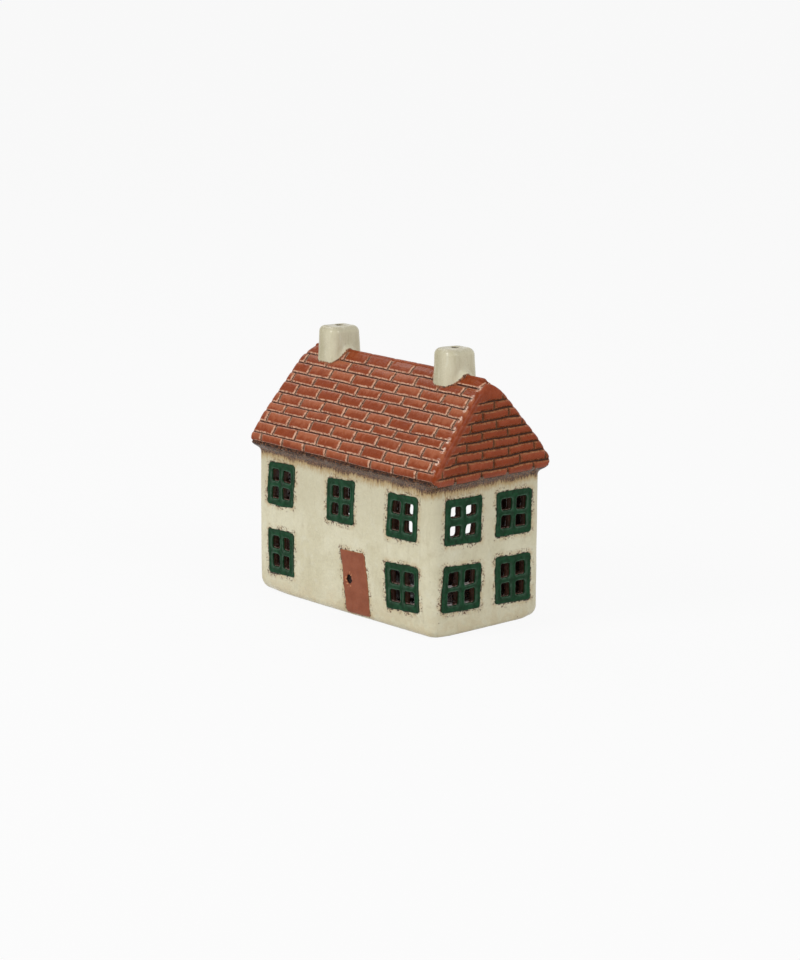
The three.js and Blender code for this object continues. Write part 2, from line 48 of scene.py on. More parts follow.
# Walls and base. The walls flare to the eaves, from this far under their top.
WALL_LENGTH, WALL_DEPTH, WALL_TOP, WALL_THICK = 136.8, 73.8, 78.4, 4.5
HALF_LENGTH, SPAN = WALL_LENGTH / 2, WALL_DEPTH / 2
CORNER, FRONT_LEFT_CORNER, FRONT_RIGHT_CORNER = 4.4, 3.2, 6.2
BASE_TOP, BASE_ROLL, RIGHT_END_LESS = 5.0, 4.0, 2.2
FLARE_FROM, FLARE_GAP, FLARE_R, WALL_OVER = 6, 0.35, 2.6, 1.5
# Corners where the base rolls under further, as place, how much further and the spot's size squared
ROLL_SPOTS = ((-68, -37, 3.4, 150), (68, 37, 2.0, 60))

# Roof. T runs down a slope from the ridge's axis and N out of it, and the nose is the round eave.
EAVE_R, RIDGE_R, RIDGE_TOP = 3.6, 2.5, 128.9
SLAB, GABLE_THICK, SHOULDER, SKIN = 5.2, 5.0, 8.0, 3.2
VERGE_R, LEFT_VERGE_R, GABLE_VERGE_R = 3.0, 2.0, 1.6
GABLE_LEAN = 4.0
LEAN_RATE = GABLE_LEAN / (RIDGE_TOP - WALL_TOP)
HEEL = SPAN - WALL_THICK
END = HALF_LENGTH + EAVE_R
INNER_END = END - GABLE_THICK
RIDGE_Z = RIDGE_TOP - RIDGE_R
EAVE_Z = WALL_TOP + EAVE_R
RISE = RIDGE_Z - EAVE_Z
SLOPE = math.atan2(RISE, SPAN) - math.asin((EAVE_R - RIDGE_R) / math.hypot(SPAN, RISE))
COS, SIN = math.cos(SLOPE), math.sin(SLOPE)
NOSE_R, DROP, BOW, BOW_RUN = 5.7, 2.1, 1.1, 12
NOSE_REACH = SPAN + EAVE_R - NOSE_R
NOSE_T = NOSE_REACH * COS + RISE * SIN
NOSE_N = NOSE_REACH * SIN - RISE * COS
APEX_SHIFT = RIDGE_R * SIN / COS
UNDERSIDE = RIDGE_R - SLAB
LIP = 0.6
SAG, SAG_FROM, SAG_TO = 0.8, 20, 46
# Pieces reach this far past a seam, and dip under their neighbour as they go
SEAM, DIP = 1.2, 0.3

# Bricks: beds are measured down the slope from its apex or down the gable, with each course's joint.
# Waves along the courses and down them give amount, shift, added seed and size. The sense is -1
# where the waves' height counts up.
SLOPE_BRICKS = Kit(
    beds=(8.6, 15.0, 21.5, 27.4, 34.2, 40.8, 46.0, 52.8, 59.3, 65.0),
    joints=(-2.8, -11.8, -4.1, -12.8, -4.5, -13.0, -4.4, -13.6, -3.8, -11.4, -11.4),
    length=17.2, height=6.4, bed_half=0.4, joint_half=0.68, corner=0.7, groove=0.75, sense=1,
    along=((0.3, 0, 0, 5.0), (0.16, 50, 0, 1.9)), down=((0.34, 0, 9, 13.0), (0.1, 0, 5, 2.3)))
GABLE_BRICKS = Kit(
    beds=(-116.6, -112.2, -107.2, -102.3, -97.7, -92.9, -88.0, -82.5),
    joints=(-9.0, 3.0, -5.2, -13.9, -6.3, -16.7, -6.3, -16.7, -7.4),
    length=18.0, height=4.95, bed_half=0.45, joint_half=0.45, corner=0.8, groove=0.8, sense=-1,
    along=((0.35, 0, 0, 6.0), (0.15, 40, 0, 1.8)), down=((0.45, 0, 7, 11.0), (0.14, 0, 5, 2.3)))
LAST_BED = SLOPE_BRICKS.beds[-1]
# How deep grooves are pressed, how far a brick rounds off to its edges and how far it leans in downward
RELIEF, PILLOW, TIP = 0.8, 0.16, 0.12
# What is left of the relief on the smooth verges, and the height where the gable's bricks end
FAINT, GABLE_BRICKS_TOP = 0.12, 121
FRONT_SEED, REAR_SEED, GABLE_SEED = 17, 37, 23

CHIMNEY = Kit(length=15.5, depth=22.1, taper=1.4, crown=3.2, top=140.6, y=1.2, bore=1.6, mouth=0.5, tilt=0.035,
              lean=0.09, below=0.05, foot=3.6, buried=1.6, lip=(0.5, 0.9, 0.8))
# Each with its middle, how far its front stands back, its foot's spread and its corners' radius
CHIMNEYS = (("left_chimney", -47.4, 0.7, 2.2, 4.4), ("right_chimney", 41.3, 1.2, 3.6, 5.2))

# Windows as node, centre across, centre height, width, height, lean and tilt, seen from outside
FRONT = (
    ("front_window_upper_left", -50.0, 59.5, 21.0, 22.6, 1.2, 1.0),
    ("front_window_upper_middle", -2.7, 59.0, 20.9, 22.7, 1.4, 1.1),
    ("front_window_upper_right", 44.1, 58.9, 22.4, 22.8, 1.4, 0.9),
    ("front_window_lower_left", -50.0, 22.9, 20.4, 23.5, -0.3, 0.2),
    ("front_window_lower_right", 44.6, 22.7, 24.4, 23.3, -1.3, 1.4),
)
RIGHT = (
    ("right_window_upper_front", -17.3, 58.4, 24.7, 23.5, 0.4, -1.2),
    ("right_window_upper_rear", 17.7, 57.5, 24.6, 22.7, 0.7, -0.9),
    ("right_window_lower_front", -18.0, 24.1, 26.1, 23.3, 0.9, -1.5),
    ("right_window_lower_rear", 17.6, 22.8, 24.6, 24.4, 0.0, -1.3),
)
REAR = (("rear_window_right", -55.7, 59.7, 18.6, 25.0, 0.2, 0.3),)
DOOR = ("front_door", 8.9, 18.25, 18.9, 32.9, -5.3, 0.7)
DOOR_SEED = 5.0
KNOB_X, KNOB_Z, KNOB_R, KNOB_DEPTH = 4.0, 19.2, 2.0, 1.4
TILE_CORNER, STILE, RAIL, BAR, PANE_CORNER = 1.5, 3.3, 3.6, 3.0, 1.2
TILE_BACK, DOOR_PROUD, TILE_SPREAD, TILE_BITE, TILE_SUNK = 2.2, 0.12, 0.5, 0.5, 0.4
# Raised rims round a pane and along a tile's edge, as height, distance from the edge and width
PANE_RIM, EDGE_RIM = (0.22, 0.75, 0.55), (0.16, 0.9, 0.7)
TILE_WAVES_ACROSS = ((0.46, 0, 0, 8.3), (0.1, 0, 4, 1.9))
TILE_WAVES_UP = ((0.46, 0, 8, 8.3), (0.1, 0, 14, 1.9))
WIDE_STILES = {"left_window_upper_front": 2.2, "left_window_lower_front": 2.2}
# How much narrower and lower half a pane is than in the solids
PANE_TRIM = {"right_window_upper_front": (0.35, 0.6), "right_window_lower_front": (0.55, -0.3),
             "right_window_lower_rear": (0.55, 0.0), "right_window_upper_rear": (0.15, -0.1)}
OPENING_WIDTH, OPENING_TOP, OPENING_SILL, OPENING_X, OPENING_CORNER = 62.0, 55.2, 21.0, 4.4, 9.0
OPENING_SEED = 3.0


def flipped(windows, side, other):
    """One end's windows as the other end's, mirrored"""
    return tuple((name.replace(side, other), -x, z, w, h, -lean, -tilt)
                 for name, x, z, w, h, lean, tilt in windows)


LEFT = flipped(RIGHT[:3], "right", "left") + (("left_window_lower_rear", -17.6, 24.1, 24.6, 24.4, 0.0, 1.3),)
REAR = REAR + flipped(REAR, "right", "left")

# Each wall's quarter turns about Z, width, distance of its face from the middle, and windows
WALLS = {
    "front_wall": (0, WALL_LENGTH, SPAN, FRONT),
    "right_end_wall": (1, WALL_DEPTH, HALF_LENGTH, RIGHT),
    "rear_wall": (2, WALL_LENGTH, SPAN, REAR),
    "left_end_wall": (3, WALL_DEPTH, HALF_LENGTH, LEFT),
}

# Seeded noise between -1 and 1
LATTICE = 40
flat_lattice = (np.random.default_rng(11).random((LATTICE,) * 3) * 2 - 1).ravel()


def noise(x, y, z, size):
    cells, weights = [], []
    for c in (x, y, z):
        low = np.floor(c / size)
        f = c / size - low
        share = f * f * (3 - 2 * f)
        weights.append((1 - share, share))
        cells.append([(low.astype(np.int64) + step) % LATTICE for step in (0, 1)])
    total = 0.0
    for a, b, c in np.ndindex(2, 2, 2):
        share = weights[0][a] * weights[1][b] * weights[2][c]
        total = total + share * flat_lattice[(cells[0][a] * LATTICE + cells[1][b]) * LATTICE + cells[2][c]]
    return total


def uneven(x, y, z, amount, size, base=1.0):
    """Noise that takes clay away and adds none"""
    return amount * (base + noise(x, y, z, size))


def waved(value, a, b, seed, waves):
    """A value plus noise over the plane of a and b"""
    for amount, shift, more, size in waves:
        value = value + amount * noise(a, b + shift, seed + more, size)
    return value


def smooth(low, high, v):
    t = np.clip((v - low) / (high - low), 0, 1)
    return t * t * (3 - 2 * t)


def bell(v, height, middle, width):
    return height * np.exp(-((v - middle) / width) ** 2)


# Distance fields, negative inside the clay
def round_and(a, b, r):
    return np.minimum(np.maximum(a, b), -r) + np.hypot(np.maximum(a + r, 0), np.maximum(b + r, 0))


def round_rect(x, y, half_x, half_y, r):
    ax, ay = np.abs(x) - half_x + r, np.abs(y) - half_y + r
    return np.hypot(np.maximum(ax, 0), np.maximum(ay, 0)) + np.minimum(np.maximum(ax, ay), 0) - r


def blend_or(a, b, r):
    h = np.clip(0.5 + 0.5 * (b - a) / r, 0, 1)
    return b + (a - b) * h - r * h * (1 - h)


def cut(f, *others):
    for other in others:
        f = np.maximum(f, other)
    return f


def past_seam(m):
    return DIP * np.maximum(m, 0) ** 2


def shell(x, y, z):
    """The outside of the walls and the base, rolled under at its foot"""
    corner = np.where(y < 0, np.where(x < 0, FRONT_LEFT_CORNER, FRONT_RIGHT_CORNER), CORNER)
    plan = round_rect(x, y, HALF_LENGTH, SPAN, corner)
    wavy = 0.2 * noise(x, y, z, 19.0) + 0.08 * noise(x + 31, y, z, 6.5)
    roll = BASE_ROLL
    for spot_x, spot_y, more, size in ROLL_SPOTS:
        roll = roll + more * np.exp(-((x - spot_x) ** 2 + (y - spot_y) ** 2) / size)
    roll = roll - RIGHT_END_LESS * smooth(58, 66, x) * smooth(34, 24, np.abs(y))
    return round_and(plan + wavy, -z, roll)


def slope_frame(reach, z):
    return reach * COS - (z - RIDGE_Z) * SIN, reach * SIN + (z - RIDGE_Z) * COS


def roof_outer(t, n):
    ridge = np.hypot(t, n) - RIDGE_R
    nose = np.hypot(t - NOSE_T, n - NOSE_N) - NOSE_R
    bowed = (NOSE_N + NOSE_R - RIDGE_R) * smooth(0, NOSE_T, t)
    bowed = bowed + BOW * smooth(0, BOW_RUN, t) * smooth(NOSE_T, NOSE_T - BOW_RUN, t)
    return np.where(t < 0, ridge, np.where(t > NOSE_T, nose, n - RIDGE_R - bowed))


def upright(x, z):
    """How far out a place is once the gables' lean is taken off"""
    return np.abs(x) + LEAN_RATE * (z - WALL_TOP)


def roof_ends(x, z):
    ax = upright(x, z)
    upper = round_rect(ax, z - (RIDGE_TOP - 60), END, 60.0, SHOULDER)
    lower = round_rect(ax, z - (WALL_TOP - DROP + 60), END, 60.0, NOSE_R)
    return cut(upper, lower)


def brick_edge(along, course, bricks):
    """Distance in from a brick's edge, and how far down the brick a point is"""
    row = np.floor(course).astype(int)
    gone = course - row
    across = (along - np.asarray(bricks.joints)[row]) / bricks.length
    across = across - np.floor(across)
    a = (0.5 - np.abs(gone - 0.5)) * bricks.height - bricks.bed_half
    b = (0.5 - np.abs(across - 0.5)) * bricks.length - bricks.joint_half
    corner = bricks.corner
    inner = corner - np.hypot(np.maximum(corner - a, 0), np.maximum(corner - b, 0))
    return np.where((a > corner) & (b > corner), np.minimum(a, b), inner), gone


def brick_place(across, down, seed, bricks):
    """Wavy place along the course, number of the course with the share of its height gone by"""
    height = bricks.sense * down
    along = waved(across, across, height, seed, bricks.along)
    down = waved(down, across, height, seed, bricks.down)
    beds = bricks.beds
    step = (beds[-1] - beds[0]) / (len(beds) - 1)
    marks = (beds[0] - step,) + beds + (beds[-1] + step,)
    return along, np.clip(np.interp(down, marks, np.arange(len(marks))), 0.5, len(beds) + 0.5), down


def slope_pattern(x, t, n, seed):
    wrapped = np.arctan2(t - NOSE_T, n - NOSE_N)
    wrapped = np.where(wrapped < 0, wrapped + 2 * math.pi, wrapped)
    down = APEX_SHIFT + np.where(t > NOSE_T, NOSE_T + NOSE_R * wrapped, t)
    return brick_place(x, np.minimum(down, LAST_BED + 8), seed, SLOPE_BRICKS)


def gable_pattern(y, z):
    return brick_place(y, -z, GABLE_SEED, GABLE_BRICKS)[:2]


def pressed(along, course, bricks):
    """How deep the pattern lies, and the distance in from a brick's edge"""
    edge, gone = brick_edge(along, course, bricks)
    sunk = 1 - smooth(-0.35, bricks.groove, edge)
    return RELIEF * sunk + PILLOW * np.exp(-np.maximum(edge, 0) / 1.5) + TIP * smooth(0.2, 1.0, gone), edge


def pattern_room(x, z, across):
    """1 where the slope's bricks are pressed in full, 0 on the smooth verges and the ridge"""
    room = END - upright(x, z)
    return np.where(x > 0, smooth(1.6, 3.2, room), smooth(0.0, 1.2, room)) * smooth(1.0, 4.5, across)


def near_ridge(z):
    return smooth(RIDGE_TOP - 14, RIDGE_TOP - 2, z)


def unsagged(x, z):
    return z + SAG * smooth(SAG_FROM, SAG_TO, x) * near_ridge(z)


def from_vent(x, y, cx):
    return np.hypot(x - cx, y - CHIMNEY.y) - CHIMNEY.bore


def slope_field(x, y, z, side, seed, detail=True):
    """side -1 is the front slope, +1 the rear one"""
    reach = y * side
    z = unsagged(x, z)
    t, n = slope_frame(reach, z)
    outer, ends, out = roof_outer(t, n), roof_ends(x, z), upright(x, z)
    lift = past_seam(-reach)
    if detail:
        along, course, across = slope_pattern(x, t, n, seed)
        depth = pressed(along, course, SLOPE_BRICKS)[0]
        lift = lift + depth * (FAINT + (1 - FAINT) * pattern_room(x, z, across))
        lift = lift + uneven(x, y, z, 0.1, 15.0, 0.9) + 0.04 * noise(x, y, z, 3.7)
        ends = ends + uneven(x, y, z, 0.1, 9.0)
    under = UNDERSIDE - n
    if side < 0:
        ends = ends + past_seam(under)
        top = round_and(outer + lift, ends, np.where(x > 0, VERGE_R, LEFT_VERGE_R))
        under = under - np.where(out > INNER_END + 0.8, SEAM, 0.0)
    else:
        top = cut(outer + lift + past_seam(out - INNER_END), out - INNER_END - SEAM)
    outside = (reach > SPAN - LIP) | (np.abs(x) > HALF_LENGTH - LIP)
    f = cut(top, np.minimum(under, cut(HEEL - reach, -0.5, EAVE_Z - 14 - z)), -reach - SEAM,
            WALL_TOP - z - np.where(outside, DROP + 0.2, 0))
    if side > 0:
        for _, cx, *_ in CHIMNEYS:
            f = cut(f, -from_vent(x, y, cx))
    return f


def gable_field(x, y, z, sag, detail=True):
    """x runs outward"""
    z = z + sag * near_ridge(z)
    t, n = slope_frame(y, z)
    outer, ends, out = roof_outer(t, n), roof_ends(x, z), upright(x, z)
    past_front = slope_frame(-y, z)[1] - UNDERSIDE
    inner = INNER_END - out
    lift = past_seam(inner)
    if detail:
        fade = smooth(-1.0, 1.6, -past_front)
        depth, edge = pressed(*gable_pattern(y, z), GABLE_BRICKS)
        strength = (FAINT + (1 - FAINT) * fade) * (0.4 + 0.6 * smooth(0.2, 2.8, -outer))
        ends = ends + depth * strength * smooth(GABLE_BRICKS_TOP, GABLE_BRICKS_TOP - 4, z)
        ends = ends + uneven(x, y, z, 0.1, 9.0) + uneven(x, y, z, 0.05, 3.7) * fade
        along, course, across = slope_pattern(x, t, n, REAR_SEED)
        lift = lift + pressed(along, course, SLOPE_BRICKS)[0] * pattern_room(x, z, across)
        lift = lift + uneven(x, y, z, 0.1, 15.0, 0.9) + 0.1 * (1 - smooth(-0.2, 0.9, edge))
    ends = ends + past_seam(past_front)
    return cut(round_and(outer + lift, ends, GABLE_VERGE_R), past_front - SEAM, -y - SPAN,
               np.where(-outer > SKIN, inner, inner - SEAM),
               WALL_TOP - z - np.where(x > HALF_LENGTH - LIP, DROP + 0.2, 0))


def chimney_field(x, y, z, cx, back, spread, corner):
    c = CHIMNEY
    lower = RIDGE_TOP - 12
    rise = c.top - lower
    front = y - c.y + c.depth / 2
    foot = roof_outer(*slope_frame(np.abs(y), unsagged(x, z)))
    grow = 0.5 * c.taper * np.clip((c.top - z) / rise, 0, 1) - 0.5 * c.taper
    plan = round_rect(x - cx + 0.55 * back, y - c.y - 0.5 * back,
                      c.length / 2 + 0.55 * back + grow, c.depth / 2 - 0.5 * back + grow, corner)
    room = smooth(1, 9, front - back) * smooth(0, 5, x - cx)
    plan = plan - spread * np.clip(1 - foot / c.foot, 0, 1) ** 2 * room
    plan = plan + 0.16 * noise(x, y, z, 8.0) + 0.05 * noise(x, y, z, 3.1)
    plan = plan + c.lean * np.maximum(y - c.y, 0) * np.clip((z - lower) / rise, 0, 1)
    top = z - c.top + c.tilt * np.maximum(front - 3, 0) + c.below
    top = top + uneven(x, y, z, 0.08, 6.0) * smooth(2, 8, front)
    bore = from_vent(x, y, cx)
    top = top - bell(bore, *c.lip) * smooth(7, 12, front)
    f = cut(round_and(plan, top, c.crown), z - c.top + c.below, -foot - c.buried)
    bore = bore - c.mouth * smooth(-3.5, 0, z - c.top) + 0.6 * noise(x, y, z, 1.7)
    return round_and(f, -bore, 0.4)


def from_wall(u, v, w, turn, distance):
    """The place of a point given across, up and outward as seen from outside a wall"""
    x, y, z = u, -(distance + w), v
    for _ in range(turn):
        x, y = -y, x
    return x, y, z


def warped(u, v, seed):
    return u + waved(0, u, v, seed, TILE_WAVES_ACROSS), v + waved(0, u, v, seed, TILE_WAVES_UP)


def tile_place(u, v, tile, seed):
    """A place in a tile's own frame, from its middle, with its lean, tilt and waves taken off"""
    _, cx, cz, width, height, lean, tilt = tile
    u, v = warped(u, v, seed)
    du, dv = u - cx, v - cz
    a, b = lean / height, tilt / width
    return (du - a * dv) / (1 - a * b), (dv - b * du) / (1 - a * b)


def tile_seed(tile):
    return DOOR_SEED if tile is DOOR else float(sum(map(ord, tile[0])) % 37)


def tile_outline(u, v, tile):
    outline = round_rect(*tile_place(u, v, tile, tile_seed(tile)), tile[3] / 2, tile[4] / 2, TILE_CORNER)
    return outline if tile is DOOR else outline - TILE_SPREAD


def pane_distance(u, v, tile):
    p, q = tile_place(u, v, tile, tile_seed(tile) + 21)
    half_w = (tile[3] - 2 * STILE - BAR) / 4
    half_h = (tile[4] - 2 * RAIL - BAR) / 4
    trim_w, trim_h = PANE_TRIM.get(tile[0], (0, 0))
    panes = round_rect(np.abs(p) - (half_w + BAR / 2), np.abs(q) - (half_h + BAR / 2),
                       half_w - trim_w, half_h - trim_h, PANE_CORNER)
    if tile[0] in WIDE_STILES:
        panes = cut(panes, p - tile[3] / 2 + STILE + WIDE_STILES[tile[0]])
    return panes


def tile_field(u, v, w, tile, turn, distance):
    skin = shell(*from_wall(u, v, w, turn, distance))
    outline, panes = tile_outline(u, v, tile), pane_distance(u, v, tile)
    top = skin - bell(panes, *PANE_RIM) - bell(-outline, *EDGE_RIM)
    top = top + 0.07 * noise(u, v, tile_seed(tile), 2.4)
    f = cut(round_and(outline, top, 0.6), -skin - TILE_BACK)
    return round_and(f, -panes, 0.45)


def door_field(u, v, w):
    skin = shell(*from_wall(u, v, w, 0, SPAN))
    top = skin - DOOR_PROUD + uneven(u, v, 0, 0.05, 7.0)
    f = cut(round_and(tile_outline(u, v, DOOR), top, 0.4), -skin - TILE_BACK)
    knob = np.hypot(u - KNOB_X + 0.15 * (v - KNOB_Z), (v - KNOB_Z) * 0.9) - KNOB_R + 0.35 * noise(u, v, 0, 1.1)
    return round_and(f, -cut(knob, -skin - KNOB_DEPTH), 0.25)


def recess(u, v, tile, depth):
    """A tile's bed, smaller and shallower than the tile, so that no gap shows round it"""
    return cut(tile_outline(u, v, tile) + TILE_BITE, depth - TILE_BACK + TILE_SUNK)


def wall_field(u, v, w, name):
    turn, width, distance, windows = WALLS[name]
    x, y, z = from_wall(u, v, w, turn, distance)
    skin = shell(x, y, z)
    flare = cut(roof_outer(*slope_frame(np.abs(y), z)), roof_ends(x, z)) + FLARE_GAP
    skin = np.where(z > WALL_TOP - FLARE_FROM, blend_or(skin, flare, FLARE_R), skin)
    mitre = (np.abs(u) - width / 2 - w) * math.sqrt(0.5)
    skin = skin + past_seam(mitre) + past_seam(BASE_TOP - z)
    f = cut(skin, -w - WALL_THICK, mitre - SEAM, BASE_TOP - z - np.where(w > -3, SEAM, 0),
            z - (WALL_TOP + WALL_OVER))
    for tile in windows:
        f = cut(f, -recess(u, v, tile, -w), 0.12 - pane_distance(u, v, tile))
    if name == "front_wall":
        f = cut(f, -recess(u, v, DOOR, -w))
    if name == "rear_wall":
        mouth_z, mouth_half = (OPENING_TOP + OPENING_SILL) / 2, (OPENING_TOP - OPENING_SILL) / 2
        u, v = warped(u, v, OPENING_SEED)
        mouth = round_rect(u - OPENING_X, v - mouth_z, OPENING_WIDTH / 2, mouth_half, OPENING_CORNER)
        f = round_and(f, -mouth, 1.1)
    return f


def base_field(x, y, z):
    skin = shell(x, y, z)
    return cut(skin + past_seam(z - BASE_TOP), z - BASE_TOP - np.where(skin > -3, SEAM, 0),
               -recess(x, z, DOOR, y + SPAN))


# Meshing: a net of quads on the zero of a field, then pulled onto it
BAND, PULLS, PROBE, LONGEST_PULL = 2.4, 3, 0.06, 0.45


def surface_net(field, low, high, pitch, **rough):
    low, high = np.array(low, float), np.array(high, float)
    counts = np.ceil((high - low) / pitch).astype(int) + 1
    axes = [low[a] + pitch * np.arange(counts[a]) for a in range(3)]
    grid = [g.ravel() for g in np.meshgrid(*axes, indexing="ij")]
    values = field(*grid, **rough)
    near = np.abs(values) < BAND
    values[near] = field(*[g[near] for g in grid])
    values = values.reshape(counts)
    cells = counts - 1
    size = int(np.prod(cells))
    sums, hits, quads = np.zeros((3, size)), np.zeros(size), []
    for axis in range(3):
        u, v = (axis + 1) % 3, (axis + 2) % 3
        start, stop = [slice(None)] * 3, [slice(None)] * 3
        start[axis], stop[axis] = slice(0, -1), slice(1, None)
        a, b = values[tuple(start)], values[tuple(stop)]
        edges = np.argwhere((a < 0) != (b < 0))
        across = edges[:, (u, v)]
        edges = edges[((across > 0) & (across < cells[[u, v]])).all(axis=1)]
        va, vb = a[tuple(edges.T)], b[tuple(edges.T)]
        spot = edges.astype(float)
        spot[:, axis] += va / (va - vb)
        corners = []
        for du, dv in ((-1, -1), (0, -1), (0, 0), (-1, 0)):
            cell = edges.copy()
            cell[:, u] += du
            cell[:, v] += dv
            flat = np.ravel_multi_index(tuple(cell.T), tuple(cells))
            corners.append(flat)
            hits += np.bincount(flat, minlength=size)
            for c in range(3):
                sums[c] += np.bincount(flat, weights=spot[:, c], minlength=size)
        quad = np.stack(corners, axis=1)
        quads.append(np.where((va < 0)[:, None], quad, quad[:, ::-1]))
    used = np.flatnonzero(hits)
    index = np.full(size, -1)
    index[used] = np.arange(len(used))
    points = (sums[:, used] / hits[used]) * pitch + low[:, None]
    for _ in range(PULLS):
        value = field(*points)
        slope = np.zeros_like(points)
        for axis, shift in enumerate(PROBE * np.eye(3)[:, :, None]):
            slope[axis] = (field(*(points + shift)) - field(*(points - shift))) / (2 * PROBE)
        steep = np.maximum((slope ** 2).sum(axis=0), 0.25)
        move = -value * slope / steep
        length = np.sqrt((move ** 2).sum(axis=0)) + 1e-9
        points = points + move * np.minimum(1, LONGEST_PULL * pitch / length)
    return points, index[np.concatenate(quads)]


def placed(name, data):
    thing = bpy.data.objects.new(name, data)
    scene.collection.objects.link(thing)
    return thing


def piece_of(node, points, faces, material, made="fired", body="house", **attributes):
    """The visible piece of a node, with its material; the node's own part is hidden"""
    name, slot = node + "_" + made, material.name.rsplit("_", 1)[0]
    mesh = bpy.data.meshes.new(name)
    mesh.vertices.add(points.shape[1])
    mesh.vertices.foreach_set("co", (points.T * MM).astype(np.float32).ravel())
    mesh.loops.add(faces.size)
    mesh.loops.foreach_set("vertex_index", faces.astype(np.int32).ravel())
    mesh.polygons.add(len(faces))
    mesh.polygons.foreach_set("loop_start", np.arange(0, faces.size, 4, dtype=np.int32))
    mesh.polygons.foreach_set("use_smooth", np.ones(len(faces), dtype=bool))
    for key, values in attributes.items():
        layer = mesh.attributes.new(key, "FLOAT", "POINT")
        layer.data.foreach_set("value", np.asarray(values, dtype=np.float32))
    mesh.update(calc_edges=True)
    mesh.validate()
    mesh.materials.append(material)
    piece = placed(name, mesh)
    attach(piece, body)
    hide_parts(node)
    return mesh


# Node trees
class Tree:
    """Adds nodes, their inputs given by name as values or as other nodes' outputs"""
    def __init__(self, owner, output):
        owner.use_nodes = True
        self.nodes, self.links = owner.node_tree.nodes, owner.node_tree.links
        self.nodes.clear()
        self.end = self.node(output).inputs[0]

    def put(self, socket, value):
        if isinstance(value, bpy.types.NodeSocket):
            self.links.new(value, socket)
        elif isinstance(value, tuple) and socket.type == "RGBA":
            socket.default_value = (*value, 1)
        else:
            socket.default_value = value

    def fill(self, node, *values, **named):
        for socket, value in zip(node.inputs, values):
            self.put(socket, value)
        for key, value in named.items():
            self.put(node.inputs[key.replace("_", " ")], value)
        return node

    def node(self, kind, settings=None, **inputs):
        node = self.nodes.new("ShaderNode" + kind)
        for key, value in (settings or {}).items():
            setattr(node, key, value)
        return self.fill(node, **inputs)

    def math(self, operation, *values):
        return self.fill(self.node("Math", dict(operation=operation)), *values).outputs[0]

    def chain(self, operation, first, *others):
        for other in others:
            first = self.math(operation, first, other)
        return first

    def times(self, *values):
        return self.chain("MULTIPLY", *values)

    def plus(self, a, b):
        return self.math("ADD", a, b)

    def minus(self, a, b):
        return self.math("SUBTRACT", a, b)

    def seen_rays(self):
        """1 for the rays that see the pale background: straight, in gloss or through glass"""
        rays = self.node("LightPath").outputs
        return self.chain("MAXIMUM", *(rays["Is %s Ray" % kind] for kind in ("Camera", "Glossy", "Transmission")))

    def split(self, factor, plain, seen):
        """One shader for the rays that light the object and another for those that are seen"""
        blend = self.fill(self.node("MixShader"), factor, plain.outputs[0], seen.outputs[0])
        self.put(self.end, blend.outputs[0])


class Glaze(Tree):
    """A material in the making, with the colour that its layers have reached so far"""
    def __init__(self, name):
        self.material = bpy.data.materials.new(name)
        super().__init__(self.material, "OutputMaterial")
        self.shader = self.node("BsdfPrincipled")
        self.put(self.end, self.shader.outputs[0])
        self.place = self.vector("MULTIPLY", self.node("TexCoord").outputs["Object"], (1 / MM,) * 3)
        self.colour = None

    def vector(self, operation, vector, by):
        return self.fill(self.node("VectorMath", dict(operation=operation)), vector, by).outputs[0]

    def texture(self, kind, shift, scale, **inputs):
        place = self.vector("MULTIPLY", self.vector("ADD", self.place, shift), scale)
        return self.node(kind, Vector=place, Scale=1.0, **inputs).outputs

    def noise(self, size, detail=2.0, rough=0.5, tall=1.0, shift=(0, 0, 0)):
        scale = (1 / size, 1 / size, 1 / (size * tall))
        return self.texture("TexNoise", shift, scale, Detail=detail, Roughness=rough)["Fac"]

    def cells(self, size, output="Distance"):
        return self.texture("TexVoronoi", (0, 0, 0), (1 / size,) * 3)[output]

    def attribute(self, name):
        return self.node("Attribute", dict(attribute_name=name)).outputs["Fac"]

    def shaken(self, value, by, amount):
        """A value moved either way by a share"""
        return self.plus(value, self.times(self.minus(by, 0.5), amount))

    def band(self, value, low, high, to_high=1.0, to_low=0.0):
        return self.node("MapRange", dict(interpolation_type="SMOOTHSTEP"), Value=value,
                         From_Min=low, From_Max=high, To_Min=to_low, To_Max=to_high).outputs["Result"]

    def mix(self, factor, a, b):
        node = self.node("Mix", dict(data_type="RGBA"), Factor=factor)
        for socket, colour in zip([s for s in node.inputs if s.type == "RGBA"], (a, b)):
            self.put(socket, colour)
        return [s for s in node.outputs if s.type == "RGBA"][0]

    def paint(self, colour, *shares):
        self.colour = self.mix(self.times(*shares), self.colour, colour)

    def layers(self, masks, table):
        for mask, low, high, share, colour in table:
            self.paint(colour, self.band(masks[mask], low, high, share))

    def bump(self, height, distance, strength=1.0, **below):
        node = self.node("Bump", Height=height, Distance=distance * MM, Strength=strength, **below)
        return node.outputs["Normal"]

    def steps(self, value, table, low, high):
        """A number from a table by a whole number, kept in a ramp as a share from low to high"""
        size = len(table)
        node = self.node("ValToRGB", Fac=self.math("MULTIPLY_ADD", value, 1 / size, 0.5 / size))
        ramp = node.color_ramp
        ramp.interpolation = "CONSTANT"
        while len(ramp.elements) < size:
            ramp.elements.new(0.5)
        for i, number in enumerate(table):
            share = (number - low) / (high - low)
            ramp.elements[i].position = i / size
            ramp.elements[i].color = (share, share, share, 1)
        return self.math("MULTIPLY_ADD", node.outputs["Color"], high - low, low)

    def patchwork(self, a, b):
        """A random share for each pair of whole numbers"""
        pair = self.node("CombineXYZ", X=a, Y=b).outputs[0]
        return self.node("TexWhiteNoise", dict(noise_dimensions="3D"), Vector=pair).outputs["Value"]

    def finish(self, roughness, normal, specular=0.5):
        self.fill(self.shader, Base_Color=self.colour, Roughness=roughness, Normal=normal,
                  Specular_IOR_Level=specular)
        return self.material


